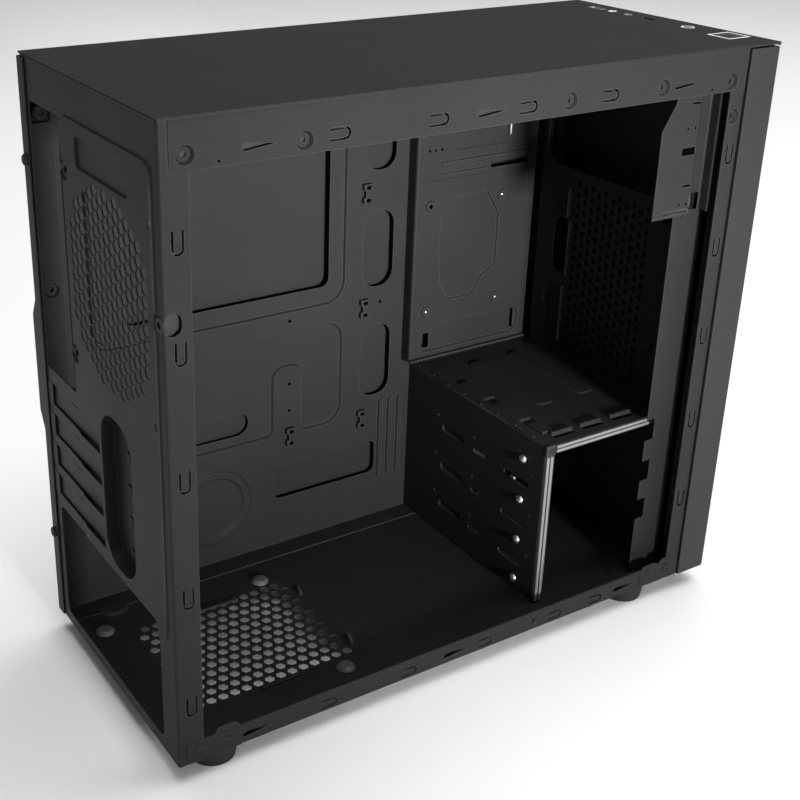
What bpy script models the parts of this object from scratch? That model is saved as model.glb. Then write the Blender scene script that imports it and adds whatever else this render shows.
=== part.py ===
"""Desktop computer tower: an empty micro-ATX chassis whose left side panel has been taken off.

Metres, +Z up. The front faces -Y and the open left side faces -X. The origin is on the floor
that the feet stand on, in the middle of the object's width and depth.
"""

import math

import bmesh
import bpy
from mathutils import Matrix, Vector

MM = 0.001

# Overall sizes
CASE_WIDTH = 178 * MM
CASE_DEPTH = 403.6 * MM
CASE_HEIGHT = 361.5 * MM  # steel body, without the feet
BEZEL_DEPTH = 25 * MM
FOOT_HEIGHT = 13 * MM
GRIP_PROUD = 6 * MM  # pull grip on the right panel
SCREW_PROUD = 2 * MM  # side screw heads behind the right panel's flange

# Stock and clearances
SHEET = 0.8 * MM
GAP = 0.3 * MM
PLASTIC = 2.5 * MM

# Side frame that the side panels lie against
FLANGE_INSET = 1.4 * MM
LIP_HEIGHT = 2 * SHEET + 0.6 * MM
TOP_RAIL = 26.1 * MM
BOTTOM_RAIL = 13.2 * MM
FRONT_RAIL = 15.2 * MM
REAR_RAIL = 15.3 * MM
RAIL_END = 5.6 * MM
ROOF_SETBACK = 0.6 * MM  # from the bezel's face to the top cover's front edge
UNDERCUT = 0.05 * MM  # keeps a cutter's face off the face beside it
HOOK_WINDOW = (12 * MM, 7 * MM)
HOOKS_ALONG = (0.28, 0.43, 0.59, 0.74)  # shares of the way from the seam to the rear
HOOKS_UP = (0.17, 0.33, 0.49, 0.66, 0.82)  # shares of the body's height

# Standards that the inside follows
IO_HEIGHT = 158.75 * MM
IO_WIDTH = 44.45 * MM
SLOT_PITCH = 20.32 * MM
SLOT_COUNT = 4
DRIVE_WIDTH = 101.6 * MM
SUPPLY_WIDTH = 150 * MM
SUPPLY_HEIGHT = 86 * MM
FAN_HOLES = 105 * MM  # spacing of a 120 mm fan's screws

# Planes of the body
LEFT = -(CASE_WIDTH + GRIP_PROUD) / 2
RIGHT = LEFT + CASE_WIDTH
FRONT = -(CASE_DEPTH + SHEET + GAP + SCREW_PROUD) / 2
REAR = FRONT + CASE_DEPTH
BOTTOM = FOOT_HEIGHT
TOP = BOTTOM + CASE_HEIGHT
SEAM = FRONT + BEZEL_DEPTH
FLANGE_LEFT = LEFT + FLANGE_INSET
FLANGE_RIGHT = RIGHT - FLANGE_INSET
FLOOR_TOP = BOTTOM + SHEET
INNER_FLOOR = FLOOR_TOP + SHEET + 2 * GAP  # over the tray's foot, which lies on the floor pan
ROOF_UNDER = TOP - SHEET - GAP
BEYOND = 20 * MM  # how far a cutter passes the metal

# Motherboard tray
TRAY_BEHIND = 6.8 * MM
TRAY_FOOT = 15 * MM
TRAY_X = RIGHT - TRAY_BEHIND
TRAY_FRONT_GAP = 8 * MM
PROCESSOR_LOW = (REAR - 197.8 * MM, TOP - 171.5 * MM)
PROCESSOR_HIGH = (REAR - 51.8 * MM, TOP - 36.5 * MM)
CABLE_HOLE = (24.5 * MM, 54 * MM)
CABLE_HOLE_FIRST = (REAR - 250.3 * MM, TOP - 97.5 * MM)
CABLE_HOLE_PITCH = 82 * MM
CABLE_HOLES = 3
PROCESSOR_RADIUS = 7 * MM
CABLE_HOLE_RADIUS = 10.3 * MM
SIDE_SLOT_RADIUS = 8 * MM
LOW_SLOT_RADIUS = 3 * MM
SIDE_SLOT_LOW = (REAR - 137.8 * MM, TOP - 267.5 * MM)
SIDE_SLOT_SIZE = (70 * MM, 17 * MM)
LOW_SLOT_LOW = (REAR - 239.8 * MM, BOTTOM + 38 * MM)
LOW_SLOT_SIZE = (83 * MM, 25.5 * MM)

# Front wall, set back behind the rails to leave room for a fan
WALL_SETBACK = 7.8 * MM
WALL_Y = SEAM + WALL_SETBACK
WALL_STEP = 15 * MM
WALL_FAN = (LEFT + 95 * MM, BOTTOM + 209.5 * MM)
WALL_TOP_OPENING = 105.5 * MM  # from the top of the body down to the fan plate's upper edge
WALL_OPENING_LEFT = LEFT + 51 * MM
WALL_OPENING_UNDER_TOP = 15 * MM
WALL_OPENING_EDGE = 3 * MM  # metal left beside the step
FINGER_SLOT = (14 * MM, 40 * MM)
FINGER_SLOT_CENTRE = (LEFT + 139 * MM, WALL_FAN[1] - 9 * MM)
FINGER_SLOT_RADIUS = 6.5 * MM
WALL_VENT_SLOTS = 6
WALL_VENT_WIDTH = FAN_HOLES * 0.74
WALL_VENT_BELOW = 77 * MM  # from the fan's middle down to the slots' ends
WALL_VENT_ABOVE = 12 * MM  # from the slots' tops up to the opening
VENT_OPEN_SHARE = 0.6
CLIP = 5 * MM
CLIP_HEIGHTS = (0.17, 0.5, 0.83)  # along the bezel
CLIP_REACH = 5 * MM

# Front post beside the drive cage
POST_X = LEFT + 15 * MM
POST_REACH = 24 * MM
POST_FOOT = 14 * MM
POST_TOP_DOWN = 90 * MM
NOTCH = (7 * MM, 15 * MM)
NOTCH_UNDER_CAGE_TOP = 4 * MM

# Drive cage
BAY_PITCH = 30 * MM
BAYS = 4
CAGE_LEFT = LEFT + 22 * MM
CAGE_TOP = BOTTOM + BAYS * BAY_PITCH - 3 * MM
CAGE_REAR = WALL_Y + DRIVE_WIDTH + 0.4 * MM + SHEET
CAGE_HEM = 7 * MM
CAGE_EDGE = 5 * MM
PIN_IN = 21 * MM
PIN_DOWN = 17 * MM
PIN_HEAD = 2.4 * MM
PIN_LENGTH = 3.5 * MM
CAGE_SLOT_HEIGHT = 3 * MM
CAGE_SLOTS = ((14 * MM, 22 * MM), (59 * MM, 12 * MM))  # distance from the left edge, length

# Solid-state drive plate
PLATE_STEP = 9.7 * MM
PLATE_X = TRAY_X - PLATE_STEP
PLATE_LENGTH = 102.4 * MM
PLATE_ABOVE_CAGE = 6 * MM
PLATE_LIP = 3 * MM
SSD_HOLES = (61.72 * MM, 76.6 * MM)
SSD_CENTRE = (37.7 * MM, 69.5 * MM)  # forward of the plate's rear edge, above its bottom
PLATE_SLOT_LOW = (92 * MM, 131 * MM)  # forward of the rear edge, above the bottom
PLATE_SLOT = (32 * MM, 3 * MM)

# Upper drive bracket
BRACKET_X = LEFT + 9 * MM
BRACKET_REACH = 56 * MM
BRACKET_DOWN = 101 * MM
BRACKET_CHAMFER = (9.5 * MM, 16 * MM)
BRACKET_CHAMFER_DOWN = 5 * MM  # from the top rail's edge
BRACKET_BENDS = (20.5 * MM, 13.5 * MM, 2.5 * MM)  # behind the seam
BRACKET_SLOT_BEHIND = 34 * MM
# Distance from the top, length and height of each slot
BRACKET_SLOTS = ((37 * MM, 10 * MM, 1.4 * MM), (61 * MM, 15 * MM, 3.4 * MM),
                 (80 * MM, 10 * MM, 1.4 * MM))

# Rear panel
IO_FROM_TRAY = 4.2 * MM
IO_DOWN = 24.75 * MM
IO_RIGHT = TRAY_X - IO_FROM_TRAY
IO_LEFT = IO_RIGHT - IO_WIDTH
IO_TOP = TOP - IO_DOWN
IO_BOTTOM = IO_TOP - IO_HEIGHT
VENT_X = IO_LEFT - 58 * MM
VENT_Z = TOP - 104 * MM
VENT_RADIUS = 50 * MM
VENT_SLOTS = 7
VENT_OPEN = 0.66  # share of each slot's pitch that is open
VENT_CHORD = 0.96  # length of a slot against the circle's chord
SLOT_FIRST = IO_BOTTOM - 16.5 * MM
SLOT_LENGTH = 78 * MM
SLOT_OPENING = 14 * MM
COVER_HEIGHT = 18.4 * MM
SLOT_LEFT = IO_RIGHT - SLOT_LENGTH
SLOT_HEIGHTS = [SLOT_FIRST - i * SLOT_PITCH for i in range(SLOT_COUNT)]
PAN_DEPTH = 8 * MM
PAN_WIDTH = 40 * MM
PAN_RIGHT = SLOT_LEFT - 3 * MM
PAN_TOP = SLOT_FIRST + 24 * MM
PAN_BOTTOM = SLOT_HEIGHTS[-1] - 10 * MM
PAN_RADIUS = 16 * MM
PAN_FLOOR = REAR - PAN_DEPTH
COVER_FACE = REAR - SHEET - GAP
COVER_FOOT = 28 * MM
COVER_OVERLAP = 1 * MM  # past the slot's right end
COVER_STEP = 1.5 * MM  # from the pan's edge to the cover's bend
SUPPLY_RIGHT = RIGHT - 12 * MM
SUPPLY_LIP = 4 * MM
SUPPLY_RADIUS = 6 * MM
PAD_HEIGHT = 2.2 * MM
PAD_RADIUS = 6 * MM
PAD_ROWS = (("rear", REAR - 14 * MM), ("front", REAR - 126 * MM))
PAD_SIDES = (("left", LEFT + 29 * MM), ("right", LEFT + 137 * MM))
SUPPLY_SEAT = FLOOR_TOP + GAP + PAD_HEIGHT

# Floor grid under the power supply
GRID_LOW = (LEFT + 43 * MM, REAR - 140 * MM)
GRID_HIGH = (LEFT + 130 * MM, REAR - 32 * MM)
GRID_BAR = 5 * MM
GRID_SLOTS = 7

# Feet
FOOT_RADIUS = 15 * MM
FOOT_BASE_RADIUS = 13.5 * MM
FOOT_SIDE = 19 * MM
FOOT_FROM_REAR = 29 * MM
FOOT_FROM_SEAM = 33.5 * MM
FOOT_BAND = 3 * MM
FOOT_BORE_DEPTH = 8 * MM

# Screws
SHANK = 1.6 * MM
HOLE = SHANK + GAP
HEAD = 3.4 * MM
HEAD_HEIGHT = 2 * MM
SIDE_SCREW_LENGTH = 6 * MM
SLOT_SCREW_LENGTH = 4 * MM
FOOT_SCREW_LENGTH = 7 * MM

# Right side panel
PANEL_FLANGE = 9 * MM
PANEL_TOP = TOP - LIP_HEIGHT - GAP
SIDE_SCREW_X = TRAY_X + SHEET + SHANK + 0.2 * MM  # just beside the motherboard tray
SIDE_SCREWS = (("side_screw_upper", TOP - 60 * MM), ("side_screw_lower", BOTTOM + 60 * MM))
GRIP_LOW = BOTTOM + 130 * MM
GRIP_HIGH = BOTTOM + 217 * MM
GRIP_DEPTH = 16 * MM
GRIP_SLOPE = 12 * MM

# Front bezel
BEZEL_ROUND = 2.4 * MM
INTAKE_SLOTS = 9
INTAKE_BAR = 4 * MM

# Front controls, in a row along the top's front edge
ROW_Y = FRONT + BEZEL_DEPTH / 2 + 1.2 * MM
POWER_X = LEFT + 29 * MM
POWER_RING = 18.2 * MM
RING_WALL = 1.6 * MM
RESET_X = LEFT + 62 * MM
RESET_RING = 8.6 * MM
RESET_WALL = 1.3 * MM
USB_SIZE = (13.1 * MM, 5.7 * MM)
USB_MOUTH = (11.5 * MM, 4.1 * MM)
USB_CENTRES = (LEFT + 143.5 * MM, LEFT + 96 * MM)
JACK_CENTRES = (LEFT + 129 * MM, LEFT + 114.5 * MM)
JACK_RADIUS = 3 * MM
JACK_BORE = 1.75 * MM  # a 3.5 mm plug
BUTTON_PLAY = 0.2 * MM
BUTTON_TRAVEL = 1.5 * MM
CAP_DEPTH = 3.6 * MM
CAP_FLANGE = 1.2 * MM
STEM_RADIUS = 2 * MM
STEM_LENGTH = 4.5 * MM
FLANGE_PLAY = 0.1 * MM  # between a cap's flange and its body's faces
SWITCH_SIDE = 6 * MM
SWITCH_SHOULDER = 1 * MM
PLUNGER_RADIUS = 1.7 * MM
USB_FLOOR = 9 * MM  # from the top down to the socket's floor
USB_TONGUE_DOWN = 1 * MM
USB_TONGUE_WIDTH = 0.86  # share of the mouth's width
USB_TONGUE_FROM, USB_TONGUE_TO = 0.05, 0.8  # shares of half the mouth's depth
BOARD_DEPTH = 14.5 * MM
BOARD_THICKNESS = 1.6 * MM
BOARD_WIDTH = 17 * MM
BOARD_TOP = TOP - BOARD_DEPTH
HOUSING_WALL = 1.8 * MM

FINISHES = {
    "black_steel": ((0.030, 0.030, 0.031), 0.45, 0.0),
    "black_plastic": ((0.014, 0.014, 0.015), 0.55, 0.0),
    "white_plastic": ((0.75, 0.75, 0.73), 0.35, 0.0),
    "bright_steel": ((0.62, 0.62, 0.60), 0.30, 1.0),
    "rubber": ((0.010, 0.010, 0.010), 0.80, 0.0),
    "circuit_board": ((0.010, 0.050, 0.020), 0.50, 0.0),
}


def collection(name):
    made = bpy.data.collections.new(name)
    bpy.context.scene.collection.children.link(made)
    return made


def clear_scene():
    for obj in list(bpy.data.objects):
        bpy.data.objects.remove(obj, do_unlink=True)


def finish(obj, kind):
    """Gives the object its own material of one of the FINISHES."""
    colour, roughness, metallic = FINISHES[kind]
    material = bpy.data.materials.new(f"{obj.name}_{kind}")
    material.use_nodes = True
    shader = material.node_tree.nodes["Principled BSDF"]
    shader.inputs["Base Color"].default_value = (*colour, 1)
    shader.inputs["Roughness"].default_value = roughness
    shader.inputs["Metallic"].default_value = metallic
    obj.data.materials.append(material)


def mesh_object(name, bm, home):
    mesh = bpy.data.meshes.new(name)
    bm.to_mesh(mesh)
    bm.free()
    obj = bpy.data.objects.new(name, mesh)
    home.objects.link(obj)
    return obj


def add_box(bm, low, high):
    low, high = Vector(low), Vector(high)
    size = high - low
    place = Matrix.Translation((low + high) / 2) @ Matrix.Diagonal((*size, 1))
    return bmesh.ops.create_cube(bm, size=1, matrix=place)["verts"]


def add_rounded_box(bm, low, high, axis, radius, segments=4):
    """A box whose four edges along axis (0, 1 or 2) are rounded."""
    corners = add_box(bm, low, high)
    edges = set()
    for vert in corners:
        for edge in vert.link_edges:
            along = edge.verts[1].co - edge.verts[0].co
            if abs(along.normalized()[axis]) > 0.9:
                edges.add(edge)
    bmesh.ops.bevel(
        bm, geom=list(edges), offset=radius, segments=segments, profile=0.5, affect="EDGES"
    )


def add_rod(bm, centre, axis, length, radius, segments=16):
    """A cylinder centred on a point, along axis (0, 1 or 2)."""
    turn = {
        0: Matrix.Rotation(math.pi / 2, 4, "Y"),
        1: Matrix.Rotation(math.pi / 2, 4, "X"),
        2: Matrix.Identity(4),
    }[axis]
    bmesh.ops.create_cone(
        bm,
        cap_ends=True,
        segments=segments,
        radius1=radius,
        radius2=radius,
        depth=length,
        matrix=Matrix.Translation(centre) @ turn,
    )


def fold(name, outline, axis, start, end, kind):
    """Folded steel: an outline of the outer side, drawn so that the metal lies to its left.

    The outline's points are (x, z) where axis is 1, and (x, y) where it is 2. The fold runs along
    that axis from start to end.
    """
    bm = bmesh.new()
    rows = []
    for along in (start, end):
        row = []
        for u, v in outline:
            row.append(bm.verts.new((u, along, v) if axis == 1 else (u, v, along)))
        rows.append(row)
    near, far = rows
    for i in range(len(outline) - 1):
        bm.faces.new((near[i], near[i + 1], far[i + 1], far[i]))
    obj = mesh_object(name, bm, PARTS)
    solid = obj.modifiers.new("thickness", "SOLIDIFY")
    solid.thickness = SHEET
    # The faces look left of an outline in X and Z, and right of one in X and Y.
    solid.offset = 1 if axis == 1 else -1
    solid.use_even_offset = True
    finish(obj, kind)
    return obj


def block(name, bm, kind):
    obj = mesh_object(name, bm, PARTS)
    finish(obj, kind)
    return obj


def shape(obj, name, bm, operation="DIFFERENCE"):
    """Cuts a mesh from the object, or joins it on with operation UNION."""
    helper = mesh_object(f"{obj.name}_{name}", bm, CUTTERS)
    helper.hide_render = True
    helper.display_type = "WIRE"
    boolean = obj.modifiers.new(name, "BOOLEAN")
    boolean.operation = operation
    boolean.solver = "EXACT"
    boolean.use_self = True
    boolean.object = helper


def turned(name, profile, kind, place, axis=2, flip=False, steps=20):
    """A round piece from a profile of (radius, height), given from its top down the outer side."""
    mesh = bpy.data.meshes.new(name)
    points = [(radius, 0, height) for radius, height in profile]
    mesh.from_pydata(points, [(i, i + 1) for i in range(len(points) - 1)], [])
    obj = bpy.data.objects.new(name, mesh)
    PARTS.objects.link(obj)
    screw = obj.modifiers.new("turn", "SCREW")
    screw.steps = screw.render_steps = steps
    screw.use_merge_vertices = True
    screw.merge_threshold = 0.00001
    obj.location = place
    lean = math.pi / 2 * (-1 if flip else 1)
    obj.rotation_euler = {0: (0, lean, 0), 1: (-lean, 0, 0), 2: (0, 0, 0)}[axis]
    finish(obj, kind)
    screw.use_smooth_shade = True
    return obj


def screw_profile(length):
    """Pan head above zero, shank below it."""
    return [(0, HEAD_HEIGHT), (HEAD * 0.8, HEAD_HEIGHT), (HEAD, HEAD_HEIGHT * 0.6), (HEAD, 0),
            (SHANK, 0), (SHANK, -length), (0, -length)]


def tab_windows(bm, side, places, axis):
    """Slots in a rail that the side panel's hooks pass through."""
    half_long, half_wide = HOOK_WINDOW[0] / 2, HOOK_WINDOW[1] / 2
    for y, z in places:
        half_y, half_z = (half_long, half_wide) if axis == 1 else (half_wide, half_long)
        low = (side - 2 * SHEET, y - half_y, z - half_z)
        high = (side + 2 * SHEET, y + half_y, z + half_z)
        add_box(bm, low, high)


def hook_rows():
    """(y, z) of the hook windows in the top, bottom, front and rear rails."""
    along = [SEAM + (REAR - SEAM) * share for share in HOOKS_ALONG]
    up = [BOTTOM + CASE_HEIGHT * share for share in HOOKS_UP]
    top = [(y, TOP - TOP_RAIL * 0.7) for y in along]
    bottom = [(y, BOTTOM + BOTTOM_RAIL / 2) for y in along]
    front = [(SEAM + FRONT_RAIL * 0.35, z) for z in up]
    rear = [(REAR - REAR_RAIL * 0.55, z) for z in up]
    return top, bottom, front, rear


def make_roof():
    joggle = TOP - LIP_HEIGHT
    rail = TOP - TOP_RAIL
    outline = [
        (FLANGE_RIGHT, rail), (FLANGE_RIGHT, joggle), (RIGHT, joggle), (RIGHT, TOP),
        (LEFT, TOP), (LEFT, joggle), (FLANGE_LEFT, joggle), (FLANGE_LEFT, rail),
    ]
    roof = fold("top_cover", outline, 1, FRONT + ROOF_SETBACK, REAR, "black_steel")
    under_lip = joggle + SHEET + UNDERCUT
    ends = bmesh.new()
    for y_low, y_high in ((FRONT - BEYOND, SEAM + SHEET + GAP), (REAR - RAIL_END, REAR + BEYOND)):
        add_box(ends, (LEFT - BEYOND, y_low, rail - BEYOND), (RIGHT + BEYOND, y_high, under_lip))
    shape(roof, "rail_ends", ends)
    windows = bmesh.new()
    for side in (FLANGE_LEFT, FLANGE_RIGHT):
        tab_windows(windows, side, hook_rows()[0], 1)
    shape(roof, "hook_windows", windows)
    controls = bmesh.new()
    half = POWER_RING / 2 + GAP
    add_box(controls, (POWER_X - half, ROW_Y - half, TOP - BEYOND),
            (POWER_X + half, ROW_Y + half, TOP + BEYOND))
    add_rod(controls, (RESET_X, ROW_Y, TOP), 2, BEYOND, RESET_RING / 2 + GAP, 24)
    for x in JACK_CENTRES:
        add_rod(controls, (x, ROW_Y, TOP), 2, BEYOND, JACK_RADIUS + GAP, 24)
    for x in USB_CENTRES:
        half_x, half_y = USB_SIZE[0] / 2 + GAP, USB_SIZE[1] / 2 + GAP
        add_box(controls, (x - half_x, ROW_Y - half_y, TOP - BEYOND),
                (x + half_x, ROW_Y + half_y, TOP + BEYOND))
    shape(roof, "control_holes", controls)


def foot_places():
    """(name, x, y) of the four feet."""
    rows = (("rear", REAR - FOOT_FROM_REAR), ("front", SEAM + FOOT_FROM_SEAM))
    sides = (("left", LEFT + FOOT_SIDE), ("right", RIGHT - FOOT_SIDE))
    return [(f"{row}_{side}", x, y) for row, y in rows for side, x in sides]


def make_floor():
    rail = BOTTOM + BOTTOM_RAIL
    outline = [(FLANGE_LEFT, rail), (FLANGE_LEFT, BOTTOM), (FLANGE_RIGHT, BOTTOM),
               (FLANGE_RIGHT, rail)]
    start, end = SEAM + SHEET + GAP, REAR - SHEET - GAP
    floor = fold("floor_pan", outline, 1, start, end, "black_steel")
    openings = bmesh.new()
    pitch = (GRID_HIGH[0] - GRID_LOW[0] + GRID_BAR) / GRID_SLOTS
    for i in range(GRID_SLOTS):
        x = GRID_LOW[0] + i * pitch
        add_box(openings, (x, GRID_LOW[1], BOTTOM - BEYOND),
                (x + pitch - GRID_BAR, GRID_HIGH[1], rail + BEYOND))
    for _, x, y in foot_places():
        add_rod(openings, (x, y, BOTTOM), 2, BEYOND, HOLE)
    shape(floor, "openings", openings)
    windows = bmesh.new()
    for side in (FLANGE_LEFT, FLANGE_RIGHT):
        tab_windows(windows, side, hook_rows()[1], 1)
    shape(floor, "hook_windows", windows)


def rail_notches(bm, y_low, y_high):
    """Where the upright rails make way for the top cover's and the floor pan's rails."""
    top, bottom = TOP - TOP_RAIL - GAP, BOTTOM + BOTTOM_RAIL + GAP
    for side in (-1, 1):
        outer = FLANGE_LEFT if side < 0 else FLANGE_RIGHT
        inner = outer - side * (SHEET + GAP)
        low_x, high_x = sorted((outer + side * BEYOND, inner))
        add_box(bm, (low_x, y_low, top), (high_x, y_high, TOP + BEYOND))
        add_box(bm, (low_x, y_low, BOTTOM - BEYOND), (high_x, y_high, bottom))


def make_rear_panel():
    outline = [(FLANGE_RIGHT, REAR - REAR_RAIL), (FLANGE_RIGHT, REAR), (FLANGE_LEFT, REAR),
               (FLANGE_LEFT, REAR - REAR_RAIL)]
    panel = fold("rear_panel", outline, 2, BOTTOM, ROOF_UNDER, "black_steel")
    notches = bmesh.new()
    rail_notches(notches, REAR - REAR_RAIL - BEYOND, REAR - SHEET - GAP / 2)
    for side in (FLANGE_LEFT, FLANGE_RIGHT):
        tab_windows(notches, side, hook_rows()[3], 2)
    shape(panel, "rail_notches", notches)

    pan = bmesh.new()
    add_rounded_box(pan, (PAN_RIGHT - PAN_WIDTH, PAN_FLOOR - SHEET, PAN_BOTTOM),
                    (PAN_RIGHT, REAR - SHEET / 2, PAN_TOP), 1, PAN_RADIUS)
    shape(panel, "screw_pan", pan, "UNION")
    hollow = bmesh.new()
    add_rounded_box(hollow, (PAN_RIGHT - PAN_WIDTH + SHEET, PAN_FLOOR, PAN_BOTTOM + SHEET),
                    (PAN_RIGHT - SHEET, REAR + BEYOND, PAN_TOP - SHEET), 1, PAN_RADIUS - SHEET)
    shape(panel, "pan_hollow", hollow)

    openings = bmesh.new()
    back, front = REAR + BEYOND, REAR - SHEET - GAP
    add_box(openings, (IO_LEFT, front, IO_BOTTOM), (IO_RIGHT, back, IO_TOP))
    for z in SLOT_HEIGHTS:
        add_box(openings, (SLOT_LEFT, front, z - SLOT_OPENING / 2),
                (IO_RIGHT, back, z + SLOT_OPENING / 2))
        add_rod(openings, (PAN_RIGHT - PAN_WIDTH / 2, PAN_FLOOR, z), 1, 4 * SHEET, HOLE, 12)
    lip = SUPPLY_LIP
    add_rounded_box(openings, (SUPPLY_RIGHT - SUPPLY_WIDTH + lip, front, SUPPLY_SEAT + lip),
                    (SUPPLY_RIGHT - lip, back, SUPPLY_SEAT + SUPPLY_HEIGHT - lip), 1,
                    SUPPLY_RADIUS, 2)
    for _, z in SIDE_SCREWS:
        add_rod(openings, (SIDE_SCREW_X, REAR, z), 1, BEYOND / 4, HOLE, 12)
    shape(panel, "openings", openings)

    vent = bmesh.new()
    pitch = 2 * VENT_RADIUS / VENT_SLOTS
    half_height = pitch * VENT_OPEN / 2
    for i in range(VENT_SLOTS):
        across = (i - (VENT_SLOTS - 1) / 2) * pitch
        half = math.sqrt(VENT_RADIUS**2 - across**2) * VENT_CHORD
        add_box(vent, (VENT_X - half, front, VENT_Z + across - half_height),
                (VENT_X + half, back, VENT_Z + across + half_height))
    shape(panel, "fan_vent", vent)


def clip_places():
    """(x, z) of the bezel's clips."""
    middle = (LEFT + FLANGE_INSET + POST_X) / 2
    heights = [BOTTOM + CASE_HEIGHT * share for share in CLIP_HEIGHTS]
    return [(x, z) for x in (middle, LEFT + RIGHT - middle) for z in heights]


def make_front_wall():
    step_left = POST_X + SHEET
    step_right = RIGHT - WALL_STEP
    face = WALL_Y - SHEET
    outline = [
        (FLANGE_LEFT, SEAM + FRONT_RAIL), (FLANGE_LEFT, SEAM), (step_left, SEAM),
        (step_left, face), (step_right, face), (step_right, SEAM), (FLANGE_RIGHT, SEAM),
        (FLANGE_RIGHT, SEAM + FRONT_RAIL),
    ]
    wall = fold("front_wall", outline, 2, BOTTOM + GAP, ROOF_UNDER, "black_steel")
    notches = bmesh.new()
    rail_notches(notches, SEAM + SHEET + GAP / 2, SEAM + FRONT_RAIL + BEYOND)
    for side in (FLANGE_LEFT, FLANGE_RIGHT):
        tab_windows(notches, side, hook_rows()[2], 2)
    # The floor pan and the top cover's rails pass over the wall's corners.
    add_box(notches, (LEFT - BEYOND, SEAM + SHEET + GAP / 2, BOTTOM - BEYOND),
            (RIGHT + BEYOND, WALL_Y + BEYOND, FLOOR_TOP + GAP))
    shape(wall, "rail_notches", notches)

    openings = bmesh.new()
    low, high = face - BEYOND, WALL_Y + BEYOND
    shelf = TOP - WALL_TOP_OPENING
    add_box(openings, (WALL_OPENING_LEFT, low, shelf),
            (step_right - WALL_OPENING_EDGE, high, TOP - WALL_OPENING_UNDER_TOP))
    (slot_x, slot_z), (slot_width, slot_height) = FINGER_SLOT_CENTRE, FINGER_SLOT
    add_rounded_box(openings, (slot_x - slot_width / 2, low, slot_z - slot_height / 2),
                    (slot_x + slot_width / 2, high, slot_z + slot_height / 2), 1,
                    FINGER_SLOT_RADIUS)
    pitch = WALL_VENT_WIDTH / WALL_VENT_SLOTS
    for i in range(WALL_VENT_SLOTS):
        x = WALL_FAN[0] - WALL_VENT_WIDTH / 2 + i * pitch
        add_box(openings, (x, low, WALL_FAN[1] - WALL_VENT_BELOW),
                (x + pitch * VENT_OPEN_SHARE, high, shelf - WALL_VENT_ABOVE))
    for x, z in clip_places():
        half = CLIP / 2 + GAP
        add_box(openings, (x - half, SEAM - BEYOND, z - half),
                (x + half, SEAM + 2 * SHEET, z + half))
    shape(wall, "openings", openings)


def make_post():
    outline = [(POST_X, WALL_Y + POST_REACH), (POST_X, WALL_Y + GAP),
               (POST_X + POST_FOOT, WALL_Y + GAP)]
    post = fold("front_post", outline, 2, INNER_FLOOR, TOP - POST_TOP_DOWN, "black_steel")
    notches = bmesh.new()
    for bay in range(1, BAYS):
        z = CAGE_TOP - NOTCH_UNDER_CAGE_TOP - (bay - 1) * BAY_PITCH
        add_box(notches, (POST_X - BEYOND / 4, WALL_Y + POST_REACH - NOTCH[0], z - NOTCH[1]),
                (POST_X + BEYOND / 4, WALL_Y + POST_REACH + BEYOND, z))
    shape(post, "notches", notches)


def make_tray():
    outside = TRAY_X + SHEET
    outline = [(TRAY_X - TRAY_FOOT, FLOOR_TOP + GAP), (outside, FLOOR_TOP + GAP),
               (outside, ROOF_UNDER), (TRAY_X - TRAY_FOOT / 2, ROOF_UNDER)]
    start, end = WALL_Y + TRAY_FRONT_GAP, REAR - SHEET - GAP
    tray = fold("motherboard_tray", outline, 1, start, end, "black_steel")
    openings = bmesh.new()
    low, high = TRAY_X - BEYOND / 4, TRAY_X + BEYOND / 4
    add_rounded_box(openings, (low, *PROCESSOR_LOW), (high, *PROCESSOR_HIGH), 0, PROCESSOR_RADIUS)
    for i in range(CABLE_HOLES):
        y = CABLE_HOLE_FIRST[0]
        z = CABLE_HOLE_FIRST[1] - i * CABLE_HOLE_PITCH
        add_rounded_box(openings, (low, y, z), (high, y + CABLE_HOLE[0], z + CABLE_HOLE[1]), 0,
                        CABLE_HOLE_RADIUS)
    for corner, size, radius in ((SIDE_SLOT_LOW, SIDE_SLOT_SIZE, SIDE_SLOT_RADIUS),
                                 (LOW_SLOT_LOW, LOW_SLOT_SIZE, LOW_SLOT_RADIUS)):
        add_rounded_box(openings, (low, *corner),
                        (high, corner[0] + size[0], corner[1] + size[1]), 0, radius)
    shape(tray, "openings", openings)
    clearance = bmesh.new()
    for _, x, y in foot_places():
        if x > 0:
            add_rod(clearance, (x, y, FLOOR_TOP), 2, BEYOND / 4, HEAD + GAP)
    shape(tray, "screw_clearance", clearance)


def make_ssd_plate():
    rear = WALL_Y + TRAY_FRONT_GAP + PLATE_LENGTH
    outline = [(TRAY_X - GAP, rear), (PLATE_X, rear), (PLATE_X, WALL_Y + TRAY_FRONT_GAP)]
    bottom = CAGE_TOP + PLATE_ABOVE_CAGE
    plate = fold("ssd_plate", outline, 2, bottom, ROOF_UNDER - SHEET - GAP, "black_steel")
    lip = bmesh.new()
    add_box(lip, (PLATE_X - PLATE_LIP, WALL_Y + TRAY_FRONT_GAP, bottom),
            (PLATE_X + SHEET / 2, rear, bottom + SHEET))
    shape(plate, "lip", lip, "UNION")
    openings = bmesh.new()
    for y in (-1, 1):
        for z in (-1, 1):
            spot = (PLATE_X, rear - SSD_CENTRE[0] + y * SSD_HOLES[0] / 2,
                    bottom + SSD_CENTRE[1] + z * SSD_HOLES[1] / 2)
            add_rod(openings, spot, 0, BEYOND / 4, HOLE, 12)
    slot_y, slot_z = rear - PLATE_SLOT_LOW[0], bottom + PLATE_SLOT_LOW[1]
    add_box(openings, (PLATE_X - BEYOND / 4, slot_y, slot_z),
            (PLATE_X + 2 * SHEET, slot_y + PLATE_SLOT[0], slot_z + PLATE_SLOT[1]))
    shape(plate, "openings", openings)


def pin_heights():
    return [CAGE_TOP - PIN_DOWN - i * BAY_PITCH for i in range(BAYS)]


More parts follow.
